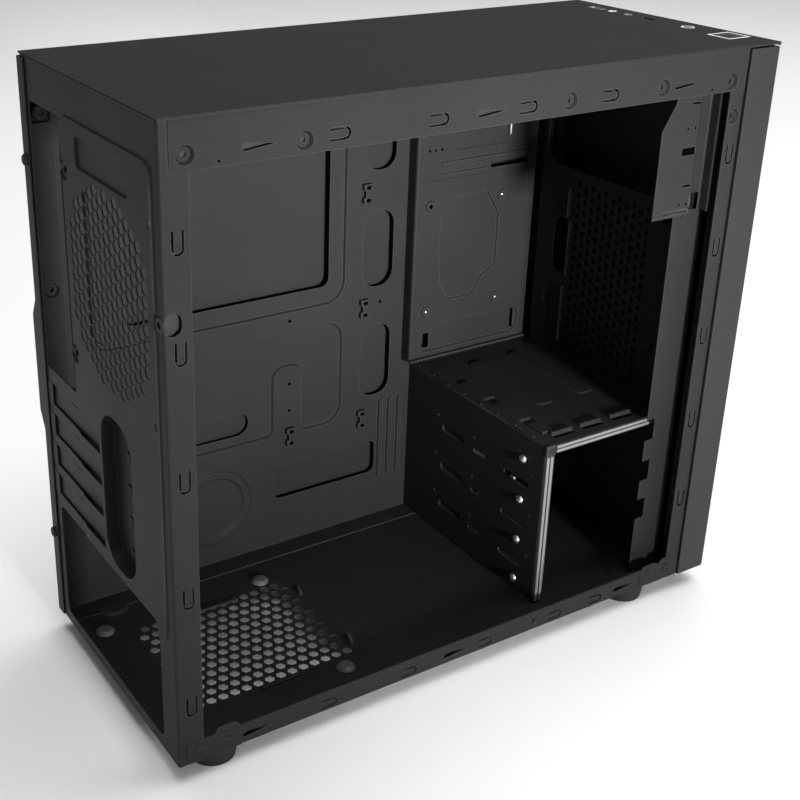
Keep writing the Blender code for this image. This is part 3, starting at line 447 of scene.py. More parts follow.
def add_tube(bm, path, radius):
    """A round bar along a path of points, closed at both ends."""
    steps = 8
    path = [Vector(p) for p in path]
    rings = []
    side = None
    for i, spot in enumerate(path):
        along = (path[min(i + 1, len(path) - 1)] - path[max(i - 1, 0)]).normalized()
        if side is None:
            side = along.orthogonal().normalized()
        side = (side - along * side.dot(along)).normalized()
        other = along.cross(side)
        rings.append([bm.verts.new(spot + radius * (side * math.cos(math.tau * k / steps)
                                                    + other * math.sin(math.tau * k / steps)))
                      for k in range(steps)])
    faces = [bm.faces.new(rings[0]), bm.faces.new(rings[-1])]
    for low, high in zip(rings, rings[1:]):
        for k in range(steps):
            j = (k + 1) % steps
            faces.append(bm.faces.new((low[k], low[j], high[j], high[k])))
    bmesh.ops.recalc_face_normals(bm, faces=faces)


DOME = [(0.0, 1.0), (0.45, 0.93), (0.8, 0.62), (1.0, 0.0)]


def add_rivet(bm, place, axis, radius, height, flip=False):
    """A domed rivet head on a short shank."""
    sunk = -0.4
    profile = [(0, sunk), (radius, sunk)] + [(radius * r, height * h) for r, h in DOME[::-1]]
    add_lathe(bm, profile, place, axis, 16, flip)


# Materials ----------------------------------------------------------


def node(tree, kind, **values):
    made = tree.nodes.new(kind)
    for key, value in values.items():
        setattr(made, key, value)
    return made


def edge_highlight_mask(tree, radius):
    """1 on edges, where the painted highlight goes, and 0 on flat places, from how far rounded normals
    lean.
    """
    bevel = node(tree, "ShaderNodeBevel", samples=4)
    bevel.inputs["Radius"].default_value = radius
    geometry = node(tree, "ShaderNodeNewGeometry")
    dot = node(tree, "ShaderNodeVectorMath", operation="DOT_PRODUCT")
    tree.links.new(bevel.outputs["Normal"], dot.inputs[0])
    tree.links.new(geometry.outputs["Normal"], dot.inputs[1])
    scale = node(tree, "ShaderNodeMapRange")
    scale.inputs["From Min"].default_value = 0.99
    scale.inputs["From Max"].default_value = 0.85
    tree.links.new(dot.outputs["Value"], scale.inputs["Value"])
    return scale.outputs["Result"]


def painted(name, dark, light, roughness, grain, bump, edge_highlight=0.0, fleck_and_highlight=(0.2, 0.2, 0.2), metallic=0.0,
            speckle=0.0, shine=0.5):
    """A finish with soft patches of colour and roughness, fine grain in bump, and painted highlights on
    its edges.
    """
    spread = 0.06
    material = bpy.data.materials.new(name)
    material.use_nodes = True
    tree = material.node_tree
    shader = tree.nodes["Principled BSDF"]
    shader.inputs["Metallic"].default_value = metallic
    shader.inputs["Specular IOR Level"].default_value = shine
    place = node(tree, "ShaderNodeTexCoord")
    patches = node(tree, "ShaderNodeTexNoise")
    patches.inputs["Scale"].default_value = 14
    patches.inputs["Detail"].default_value = 4
    fine = node(tree, "ShaderNodeTexNoise")
    fine.inputs["Scale"].default_value = grain
    fine.inputs["Detail"].default_value = 3
    for noise in (patches, fine):
        tree.links.new(place.outputs["Object"], noise.inputs["Vector"])
    blend = node(tree, "ShaderNodeMix", data_type="RGBA")
    blend.inputs["A"].default_value = (*dark, 1)
    blend.inputs["B"].default_value = (*light, 1)
    tree.links.new(patches.outputs["Fac"], blend.inputs["Factor"])
    colour = blend.outputs["Result"]
    if speckle:
        ramp = node(tree, "ShaderNodeMapRange")
        ramp.inputs["From Min"].default_value = 0.62
        ramp.inputs["From Max"].default_value = 0.78
        ramp.inputs["To Max"].default_value = speckle
        tree.links.new(fine.outputs["Fac"], ramp.inputs["Value"])
        flecks = node(tree, "ShaderNodeMix", data_type="RGBA")
        tree.links.new(ramp.outputs["Result"], flecks.inputs["Factor"])
        tree.links.new(colour, flecks.inputs["A"])
        flecks.inputs["B"].default_value = (*fleck_and_highlight, 1)
        colour = flecks.outputs["Result"]
    # Painted highlight: the edges are lightened towards a lighter grey.
    if edge_highlight:
        highlight_mask = edge_highlight_mask(tree, 0.5 * MM)
        highlight_strength = node(tree, "ShaderNodeMath", operation="MULTIPLY")
        tree.links.new(highlight_mask, highlight_strength.inputs[0])
        highlight_strength.inputs[1].default_value = edge_highlight
        highlit_edges = node(tree, "ShaderNodeMix", data_type="RGBA")
        tree.links.new(highlight_strength.outputs["Value"], highlit_edges.inputs["Factor"])
        tree.links.new(colour, highlit_edges.inputs["A"])
        highlit_edges.inputs["B"].default_value = (*fleck_and_highlight, 1)
        colour = highlit_edges.outputs["Result"]
    tree.links.new(colour, shader.inputs["Base Color"])
    rough = node(tree, "ShaderNodeMapRange")
    rough.inputs["To Min"].default_value = roughness - spread
    rough.inputs["To Max"].default_value = roughness + spread
    tree.links.new(patches.outputs["Fac"], rough.inputs["Value"])
    tree.links.new(rough.outputs["Result"], shader.inputs["Roughness"])
    relief = node(tree, "ShaderNodeBump")
    relief.inputs["Strength"].default_value = bump
    relief.inputs["Distance"].default_value = 0.0001
    tree.links.new(fine.outputs["Fac"], relief.inputs["Height"])
    tree.links.new(relief.outputs["Normal"], shader.inputs["Normal"])
    MATERIALS[name] = material


def make_materials():
    # Both black finishes get painted highlights along their edges.
    painted("black_steel", (0.012, 0.012, 0.0125), (0.017, 0.017, 0.0175), 0.5, 2600, 0.25,
            edge_highlight=0.5, fleck_and_highlight=(0.12, 0.12, 0.12), speckle=0.03, shine=0.1)
    # A lighter grey copy of the black steel, painted as a highlight on the cage's hems.
    painted("hem_highlight", (0.10, 0.10, 0.10), (0.15, 0.15, 0.15), 0.35, 2600, 0.15, shine=0.6)
    painted("black_plastic", (0.008, 0.008, 0.0085), (0.013, 0.013, 0.0135), 0.5, 1900, 0.3,
            edge_highlight=0.25, fleck_and_highlight=(0.03, 0.03, 0.03), shine=0.35)
    painted("white_plastic", (0.70, 0.70, 0.69), (0.84, 0.84, 0.82), 0.3, 900, 0.06)
    painted("grey_plastic", (0.16, 0.16, 0.165), (0.24, 0.24, 0.245), 0.35, 900, 0.06)
    painted("pad_rubber", (0.05, 0.05, 0.05), (0.08, 0.08, 0.08), 0.4, 1200, 0.15)
    painted("bright_steel", (0.50, 0.50, 0.49), (0.66, 0.66, 0.64), 0.3, 1500, 0.08, metallic=1.0)
    painted("rubber", (0.008, 0.008, 0.008), (0.014, 0.014, 0.014), 0.75, 1200, 0.4, shine=0.3)
    painted("circuit_board", (0.008, 0.045, 0.016), (0.014, 0.065, 0.024), 0.42, 700, 0.2)


# Steel body ---------------------------------------------------------


def make_roof():
    joggle, rail = TOP - LIP, TOP - TOP_RAIL
    fold = Fold("Y", [(FLANGE_RIGHT, rail), (FLANGE_RIGHT, joggle), (RIGHT, joggle), (RIGHT, TOP),
                      (LEFT, TOP), (LEFT, joggle), (FLANGE_LEFT, joggle), (FLANGE_LEFT, rail)])
    right_lip, left_lip = fold.s((RIGHT, joggle + SHEET)), fold.s((LEFT, joggle + SHEET))
    end = fold.end
    outline = rounded([
        (0, RAIL_FRONT), (right_lip, RAIL_FRONT), (right_lip, FRONT_EDGE),
        (left_lip, FRONT_EDGE), (left_lip, RAIL_FRONT), (end, RAIL_FRONT),
        (end, RAIL_END), (left_lip, RAIL_END), (left_lip, REAR), (right_lip, REAR),
        (right_lip, RAIL_END), (0, RAIL_END),
    ], [1, 0, 0, 0, 0, 1, 4, 0, 0, 0, 0, 4])
    holes, pressings = [], []
    slots_z = 343
    for side in (FLANGE_LEFT, FLANGE_RIGHT):
        def at(y, z, side=side):
            return fold.s((side, z)), y
        for y in (105, 46, -12, -70):
            holes.append(hook_slot(at(y, slots_z), -90))
            pressings.append(dimple(*at(y - 2.2, slots_z), 1.7, -0.7, 0.8, 12))
        for y in (150, 13, -127):
            holes.append(turned(teardrop(), at(y, slots_z), 90))
        for y, z in ((188, 343), (125, 342), (-41, 343), (-110, 343), (-165, 341)):
            pressings.append(dimple(*at(y, z), 5.0, -2.3, 1.6))
            holes.append(disc(*at(y, z), 1.5, 12))
        for y, z in ((171, 338), (-149, 338)):
            holes.append(disc(*at(y, z), 1.0, 10))
    for name in ("power_light_ring", "reset_ring", "usb_socket_1", "usb_socket_2",
                 "headphone_jack", "microphone_jack"):
        low, high = body_box(name)
        middle = (low + high) / 2
        half = (high - low) / 2
        s, y = fold.s((middle.x, TOP)), middle.y
        if name in ("reset_ring", "headphone_jack", "microphone_jack"):
            holes.append(disc(s, y, half.x + GAP, 24))
        else:
            reach = (half.x + GAP, half.y + GAP)
            holes.append(rounded(box(s - reach[0], y - reach[1], s + reach[0], y + reach[1]), 0.8))
    roof = sheet("roof_sheet", fold, outline, holes, pressings, merge=False)
    dress(roof, "black_steel", bevel=0.12)
    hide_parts("top_cover")
    bm = bmesh.new()
    add_slab(bm, (LEFT + 0.3, FRONT_EDGE, joggle), (RIGHT - 0.3, FRONT_EDGE + SHEET, TOP - 0.2), 0.3)
    dress(to_object("roof_front_lip", bm), "black_steel", bevel=0)


def make_floor():
    rail = BOTTOM_RAIL
    fold = Fold("Y", [(FLANGE_LEFT + 2.2, rail - 4), (FLANGE_LEFT + 2.2, rail), (FLANGE_LEFT, rail),
                      (FLANGE_LEFT, 0), (FLANGE_RIGHT, 0), (FLANGE_RIGHT, rail)], bends=1.05)
    start, end = SEAM + SHEET + GAP, REAR - SHEET - GAP
    rail_end = REAR - 5.0
    left, right = fold.s((FLANGE_LEFT, 0.8)), fold.s((FLANGE_RIGHT, 0.8))
    outline = [(0, start), (fold.end, start), (fold.end, rail_end), (right, rail_end),
               (right, end), (left, end), (left, rail_end), (0, rail_end)]
    holes, pressings = [], []

    def side(y, z):
        return fold.s((FLANGE_LEFT, z)), y

    def flat(x, y):
        return fold.s((x, 0)), y

    for y in (105, 48, -10, -67, -102):
        holes.append(hook_slot(side(y, 5), -90, 11, 6))
    for y in (153, 13, -127):
        holes.append(turned(teardrop(), side(y, 6), 90))
    pressings.append(dimple(*side(-50, 6), 3.8, -1.2, 1.8))
    holes.append(disc(*side(-50, 6), 1.3, 12))
    columns, rows = 12, 14
    across, along = 7.6, 7.9  # the vent grid's pitch
    grid_end = 172
    for i in range(columns):
        for j in range(rows):
            x = -46 + across * i
            y = 66 + along * j + (along / 2 if i % 2 else 0)
            if y < grid_end:
                holes.append(hexagon(*flat(x, y), 3.25))
    for x in (-70, 70):
        for y in (173, -143):
            pressings.append(dimple(*flat(x, y), 11, -2.2, 3.5, 24))
            holes.append(disc(*flat(x, y), 1.9, 12))
    floor = sheet("floor_sheet", fold, outline, holes, pressings)
    dress(floor, "black_steel", bevel=0.12)
    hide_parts("floor_pan")
    bm = bmesh.new()
    rear_tab = rounded([(196.8, 0.4), (196.8, 14), (179.5, 14), (178.5, 18), (164.5, 18), (163, 0.4)],
                       [0.3, 4, 1, 5, 5, 0.3])
    front_tab = rounded([(-141, 0.4), (-142, 16), (-155, 16), (-157.5, 13), (-160, 17), (-174.5, 17),
                         (-175.2, 0.4)], [0.3, 4.5, 4, 1, 4, 5, 0.3])
    for tab in (rear_tab, front_tab):
        add_plate(bm, tab, "X", FLANGE_LEFT - 0.5, FLANGE_LEFT + 0.3)
    dress(to_object("corner_tabs", bm), "black_steel", bevel=0.2)
    bm = bmesh.new()
    for y, z, radius in ((171, 10.5, 2.6), (-149, 9.5, 2.6), (188.5, 7, 3.6), (-166, 8, 3.6)):
        ring = [(0, -0.3), (radius, -0.3), (radius, 0.5), (radius - 0.6, 0.9), (radius * 0.45, 0.9),
                (radius * 0.4, 0.1), (0, 0.1)]
        add_lathe(bm, ring, (FLANGE_LEFT - 0.45, y, z), "X", 20, flip=True)
    for x, y in ((25, 60), (-38, 60)):
        path = [(x + 4.6 * math.cos(a), y, 0.5 + 4.6 * math.sin(a))
                for a in (math.pi * i / 10 for i in range(11))]
        add_tube(bm, path, 1.1)
    for x, y0, y1 in ((-52, 100, 130), (37, 100, 125)):
        add_slab(bm, (x - 1.6, y0, 0.5), (x + 1.6, y1, 2.4), 0.9)
    dress(to_object("floor_trim", bm), "black_steel", bevel=0)
    for name in ("supply_pad_rear_left", "supply_pad_rear_right", "supply_pad_front_left",
                 "supply_pad_front_right"):
        low, high = body_box(name)
        middle = (low + high) / 2
        radius = (high - low).x / 2
        bm = bmesh.new()
        dome = [(0, low.z), (radius, low.z), (radius * 0.96, low.z + 0.5), (radius * 0.72, high.z - 0.3),
                (radius * 0.62, high.z), (0, high.z)]
        add_lathe(bm, [(r, h - middle.z) for r, h in dome], middle, "Z", 28)
        pad = dress(to_object(f"{name}_dome", bm), "rubber", "pad_rubber", bevel=0)
        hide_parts(name)


def make_rear_panel():
    fold = Fold("Z", [(FLANGE_RIGHT, REAR - REAR_RAIL), (FLANGE_RIGHT, REAR), (FLANGE_LEFT, REAR),
                      (FLANGE_LEFT, REAR - REAR_RAIL)], bends=1.6)

    def at(x, z):
        return fold.s((x, REAR)), z

    def side(y, z):
        return fold.s((FLANGE_LEFT, y)), z

    low, high = GAP + BOTTOM_RAIL, TOP - TOP_RAIL - GAP
    edge = REAR - 4.6
    left_edge = fold.s((FLANGE_LEFT, edge))
    right_edge = fold.s((FLANGE_RIGHT, edge))
    top = ROOF_UNDER
    outline = [(0, low), (right_edge, low), (right_edge, 0), (left_edge, 0), (left_edge, low),
               (fold.end, low), (fold.end, high), (left_edge, high), (left_edge, top),
               (right_edge, top), (right_edge, high), (0, high)]
    holes, pressings = [], []

    def opening(x0, z0, x1, z1, radius):
        holes.append(rounded(rectangle(at, x0, z0, x1, z1), radius))

    def pressed(x0, z0, x1, z1, radius, height, slope):
        pressings.append(pressing(rectangle(at, x0, z0, x1, z1), radius, height, slope))

    opening(33.55, 178.0, 78.0, 336.75, 1.2)
    for z in SLOT_HEIGHTS:
        opening(0, z - 7, 78, z + 7, 1)
    opening(-69, 7.3, 73, 85.3, 5)
    for z in (301.5, 60):
        holes.append(disc(*at(84.8, z), 1.9, 12))

    pressed(-80, 75, 31, 340, 9, 1.0, 1.0)
    pressed(-55, 315, 11, 333, 4, -1.3, 1.4)
    pressed(-43, 90.5, -3, 185.5, 16, -7.6, 1.6)
    for z in SLOT_SCREW_HEIGHTS:
        holes.append(disc(*at(-23, z), 1.9, 12))
    centre = (-24.5, 257.5)
    for dx in (-FAN_SCREW, FAN_SCREW):
        for dz in (-FAN_SCREW, FAN_SCREW):
            x, z = centre[0] + dx, centre[1] + dz
            if x > -74:
                pressings.append(dimple(*at(x, z), 6, -1.0, 1.0))
            holes.append(disc(*at(x, z), 2.1, 12))
    pitch = 7.4
    round_edge, side_edge = 55, 47
    for i in range(-7, 8):
        for j in range(-8, 9):
            x = centre[0] + i * pitch * math.sqrt(3) / 2
            z = centre[1] + j * pitch + (pitch / 2 if i % 2 else 0)
            away = math.hypot(x - centre[0], z - centre[1])
            if away < round_edge and abs(x - centre[0]) < side_edge:
                holes.append(disc(*at(x, z), 3.65, 6))
    hooks_y = 193
    for z in (302, 246, 176, 107, 38):
        holes.append(hook_slot(side(hooks_y, z), -90, 12.5))
        pressings.append(dimple(*side(hooks_y, z - 2.6), 1.7, -0.7, 0.8, 12))
    holes.append(rounded(rectangle(side, 192, 256, 201.4, 268), 5))
    rear = sheet("rear_panel_sheet", fold, outline, holes, pressings)
    dress(rear, "black_steel", bevel=0.12)
    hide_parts("rear_panel")

    bm = bmesh.new()
    for z in SLOT_SCREW_HEIGHTS:
        add_slab(bm, (72, REAR - 0.9, z - 7), (79, REAR + 0.3, z + 7), 0.3)
    add_slab(bm, (-49, REAR - 1.5, 86.2), (-4, REAR + 0.9, 89.4), 1.2)
    ring = [(0, -1), (4.4, -1), (4.4, 0.2), (3.8, 0.8), (1.9, 0.8), (1.7, -0.6), (0, -0.6)]
    add_lathe(bm, ring, (-84.2, REAR, 262), "Y", 24)
    dress(to_object("rear_trim", bm), "black_steel", bevel=0)


def make_front_wall():
    step_left, step_right = POST_X + SHEET, RIGHT - 15
    face = WALL_Y - SHEET
    fold = Fold("Z", [(FLANGE_LEFT, SEAM + FRONT_RAIL), (FLANGE_LEFT, SEAM), (step_left, SEAM),
                      (step_left, face), (step_right, face), (step_right, SEAM),
                      (FLANGE_RIGHT, SEAM), (FLANGE_RIGHT, SEAM + FRONT_RAIL)], bends=0.9)

    def at(x, z):
        return fold.s((x, face)), z

    def side(y, z):
        return fold.s((FLANGE_LEFT, y)), z

    low, high = BOTTOM_RAIL + GAP, TOP - TOP_RAIL - GAP
    left_edge, right_edge = fold.s((FLANGE_LEFT, SEAM + 1.1)), fold.s((FLANGE_RIGHT, SEAM + 1.1))
    top = ROOF_UNDER
    left_in, right_in = fold.s((step_left, SEAM + 1.2)), fold.s((step_right, SEAM + 1.2))
    floor = FLOOR_TOP + GAP
    outline = [(0, low), (left_edge, low), (left_edge, GAP), (left_in, GAP), (left_in, floor),
               (right_in, floor), (right_in, GAP), (right_edge, GAP), (right_edge, low),
               (fold.end, low), (fold.end, high), (right_edge, high), (right_edge, top),
               (left_edge, top), (left_edge, high), (0, high)]
    holes, pressings = [], []
    holes.append(rounded([at(-38, 256), at(60, 256), at(70, 262), at(70, 346), at(-60, 346),
                          at(-60, 242), at(-42, 242)], [6, 6, 4, 3, 3, 3, 6]))
    holes.append(pill(*at(42, 180), *at(56, 220)))
    pitch = 7.6
    centre = (2, 190)
    grid_half, grid_low, grid_high = 38, 130, 249
    for i in range(-6, 7):
        for j in range(-8, 9):
            x = centre[0] + i * pitch * math.sqrt(3) / 2
            z = centre[1] + j * pitch + (pitch / 2 if i % 2 else 0)
            if abs(x - centre[0]) < grid_half and grid_low < z < grid_high:
                holes.append(disc(*at(x, z), 2.6, 6))
    for x in (-46, 58):
        for z in (157, 52):
            pressings.append(dimple(*at(x, z), 6, 1.0, 1.8))
            holes.append(disc(*at(x, z), 2.0, 12))
    hooks_y = -171
    for z in (297, 238, 179, 120, 61):
        holes.append(hook_slot(side(hooks_y, z), -90, 12, 6))
        pressings.append(dimple(*side(hooks_y, z - 3), 1.6, -0.7, 0.8, 12))
    screw_place = side(-170, 320)
    pressings.append(dimple(*screw_place, 4.8, -2.2, 1.6))
    holes.append(disc(*screw_place, 1.5, 12))
    wall = sheet("front_wall_sheet", fold, outline, holes, pressings, merge=False)
    dress(wall, "black_steel", bevel=0.12)
    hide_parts("front_wall")
    bm = bmesh.new()
    for x, z0, z1 in ((40, 130, 172), (38, 180, 220), (41, 222, 243)):
        add_slab(bm, (x, WALL_Y - 0.2, z0), (x + 1.2, WALL_Y + 3.4, z1), 0.4)
    dress(to_object("front_wall_trim", bm), "black_steel", bevel=0)


def make_slot_shade_backings():
    """Painted shade: dark slabs just inside each rail, which the slots look onto, so that the slots look
    dark.
    """
    near, far = FLANGE_LEFT + 3.6, FLANGE_LEFT + 3.9
    spans = (
        (RAIL_FRONT + 2, RAIL_END - 2, TOP - TOP_RAIL + 0.8, TOP - LIP - 1),
        (SEAM + 2, REAR - 8, 1.2, BOTTOM_RAIL - 3.2),
        (SEAM + 1.4, SEAM + FRONT_RAIL - 3.2, BOTTOM_RAIL + 3, TOP - TOP_RAIL - 3),
        (REAR - REAR_RAIL + 0.6, REAR - 2, BOTTOM_RAIL + 3, TOP - TOP_RAIL - 3),
    )
    bm = bmesh.new()
    for y0, y1, z0, z1 in spans:
        add_slab(bm, (near, y0, z0), (far, y1, z1), 0.1, 1)
    # The black plastic here is painted shade behind the slots.
    dress(to_object("slot_shade_backings", bm), "black_steel", "black_plastic", bevel=0)


def make_post():
    low, high = body_box("front_post")
    fold = Fold("Z", [(POST_X, high.y), (POST_X, SEAM + 1.2), (POST_X + 3, SEAM + 1.2)], bends=1.0)
    outline = [(0, low.z)]
    notch, half_notch = 7, 7.5
    for z in (53, 82, 112):
        outline += [(0, z - half_notch), (notch, z - half_notch),
                    (notch, z + half_notch), (0, z + half_notch)]
    outline += [(0, high.z), (fold.end, high.z), (fold.end, low.z)]
    post = sheet("front_post_sheet", fold, outline)
    dress(post, "black_steel")
    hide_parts("front_post")
    bm = bmesh.new()
    add_slab(bm, (POST_X + 0.4, WALL_Y + GAP, low.z), (high.x, WALL_Y + GAP + SHEET, high.z), 0.2)
    dress(to_object("front_post_foot", bm), "black_steel", bevel=0)


def make_tray():
    foot = TRAY_X - 15
    low, high = FLOOR_TOP + GAP, ROOF_UNDER
    fold = Fold("Y", [(TRAY_X - 7.5, high), (TRAY_X, high), (TRAY_X, low + SHEET),
                      (foot, low + SHEET)], bends=1.0, inner_bend=0.8)

    def at(y, z):
        return fold.s((TRAY_X, z)), y

    outline = [(0, TRAY_FRONT), (fold.end, TRAY_FRONT), (fold.end, TRAY_REAR), (0, TRAY_REAR)]
    holes, pressings = [], []

    def corners(*spots):
        return [at(*spot) for spot in spots]

    # A wide rim pressed round the processor opening, with a groove outside it.
    pressings.append(pressing(rectangle(at, -10, 176, 175, 334), 15, -1.9, 1.2))
    pressings.append(pressing(rectangle(at, -6.5, 179.6, 172, 333), 12, 3.0, 1.3))
    holes.append(rounded(rectangle(at, 4, 190, 150, 325), 6, steps=6))
    # The lower field, stepped round its finger.
    field = corners((-9, 163), (180, 163), (180, 87), (45, 87), (45, 137), (24, 137), (24, 86), (-9, 86))
    pressings.append(pressing(field, [14, 6, 6, 5, 8, 8, 5, 14], -2.0, 1.5))
    for y, z in ((33, 170), (-39, 170), (33, 124), (33, 104)):
        holes.append(disc(*at(y, z), 1.3, 10))
    for y, z0, z1 in ((-36, 264, 318), (-36, 182, 236), (-36, 100, 154)):
        holes.append(rounded(rectangle(at, y - 12.2, z0, y + 12.2, z1), 10.5, steps=6))
    holes.append(rounded(rectangle(at, 64, 94, 133, 111), 8, steps=6))
    holes.append(rounded(rectangle(at, -38, 38, 45, 63.5), 5, steps=5))
    ring_place = at(92, 45)
    pressings.append(dimple(*ring_place, 29, 1.7, 2.0, 40))
    pressings.append(dimple(*ring_place, 23, -1.7, 2.0, 36))
    holes.append(rounded(rectangle(at, 180.3, 155, 187, 324), 1.5))
    pressings.append(dimple(*at(194.2, 222), 4.8, -2.0, 1.4))
    holes.append(disc(*at(194.2, 222), 1.6, 12))
    holes.append(rounded(rectangle(at, 188, 322, 203, 342), 1.5))
    for y in (-42, -50, -58):
        pressings.append(pressing(rectangle(at, y - 2.4, 32, y + 2.4, 96), 2.2, 1.8, 1.2))
    tray = sheet("tray_sheet", fold, outline, holes, pressings)
    dress(tray, "black_steel", bevel=0.15)
    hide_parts("motherboard_tray")

    bm = bmesh.new()
    for y, z in ((-25, 249.5), (-25, 168), (-25, 84), (33, 85)):
        for half in (-1, 1):
            add_slab(bm, (TRAY_X - 3.2, y - 3.5, z + half * 4.5 - 2.2),
                     (TRAY_X + 0.2, y + 3.5, z + half * 4.5 + 2.2), 0.9)
        add_slab(bm, (TRAY_X - 3.2, y - 2, z - 6), (TRAY_X - 2.3, y + 2, z + 6), 0.4)
    ring = [(0, -0.6), (4.6, -0.6), (4.6, 0.6), (3.8, 1.4), (2.0, 1.4), (1.8, 0.2), (0, 0.2)]
    add_lathe(bm, ring, (TRAY_X, 194.2, 328), "X", 24, flip=True)
    dress(to_object("tray_hooks", bm), "black_steel", bevel=0)


def make_ssd_plate():
    fold = Fold("Z", [(TRAY_X - GAP, PLATE_REAR), (PLATE_X, PLATE_REAR), (PLATE_X, TRAY_FRONT)],
                bends=1.8)

    def at(y, z):
        return fold.s((PLATE_X, y)), z

    outline = [(0, PLATE_LOW), (fold.end, PLATE_LOW), (fold.end, PLATE_HIGH), (0, PLATE_HIGH)]
    holes, pressings = [], []

    def corners(*spots):
        return [at(*spot) for spot in spots]

    pressings.append(pressing(rectangle(at, -63.5, 253, -163, 350), 6, 0.9, 1.2))
    pressings.append(pressing(rectangle(at, -88, 272, -137, 345), 5, -1.2, 1.4))
    holes.append(rounded(rectangle(at, -66, 286, -79, 290), 1))
    for y in (-67.8, -72.8, -77.8):
        holes.append(disc(*at(y, 274.5), 1.1, 10))
    pressings.append(pressing(rectangle(at, -77, 262.5, -151, 266.5), 1.6, 1.3, 1.1))
    holes.append(rounded(rectangle(at, -120, 256.5, -153, 260.3), 1.2))
    pressings.append(pressing(rectangle(at, -75, 257, -117, 260.3), 1.4, -1.1, 1.0))
    octagon = corners((-86, 240.5), (-120, 240.5), (-131, 222), (-131, 184), (-119, 177.5),
                      (-111, 164.5), (-90, 164.5), (-82, 178), (-80, 200), (-80, 226))
    pressings.append(pressing(octagon, 4, -1.5, 1.0))
    for y in (-70.5, -131.5):
        for z in (236, 159.5):
            pressings.append(dimple(*at(y, z), 4.4, 1.6, 1.1))
            holes.append(disc(*at(y, z), 1.6, 12))
    pressings.append(pressing(rectangle(at, -66, 128, -155, 149), 8, -1.7, 1.3))
    holes.append(rounded(rectangle(at, -70, 131, -76, 142), 1.4))
    holes.append(rounded(rectangle(at, -149, 131, -152, 146), 1))
    plate = sheet("ssd_plate_sheet", fold, outline, holes, pressings)
    dress(plate, "black_steel", bevel=0.15)
    bm = bmesh.new()
    add_slab(bm, (PLATE_X - 3, TRAY_FRONT, PLATE_LOW), (PLATE_X + 0.5, PLATE_REAR, PLATE_LOW + 2), 0.8)
    dress(to_object("ssd_plate_hem", bm), "black_steel", bevel=0)
    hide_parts("ssd_plate")
    bm = bmesh.new()
    add_slab(bm, (PLATE_X - 2.5, -136.5, 278), (PLATE_X + 0.3, -134, 291), 0.8)
    for y, z in ((-131.5, 236), (-131.5, 159.5), (-70.5, 159.5)):
        add_rivet(bm, (PLATE_X - 0.4, y, z), "X", 1.6, 1.6, flip=True)
    dress(to_object("ssd_plate_pins", bm), "bright_steel", bevel=0)


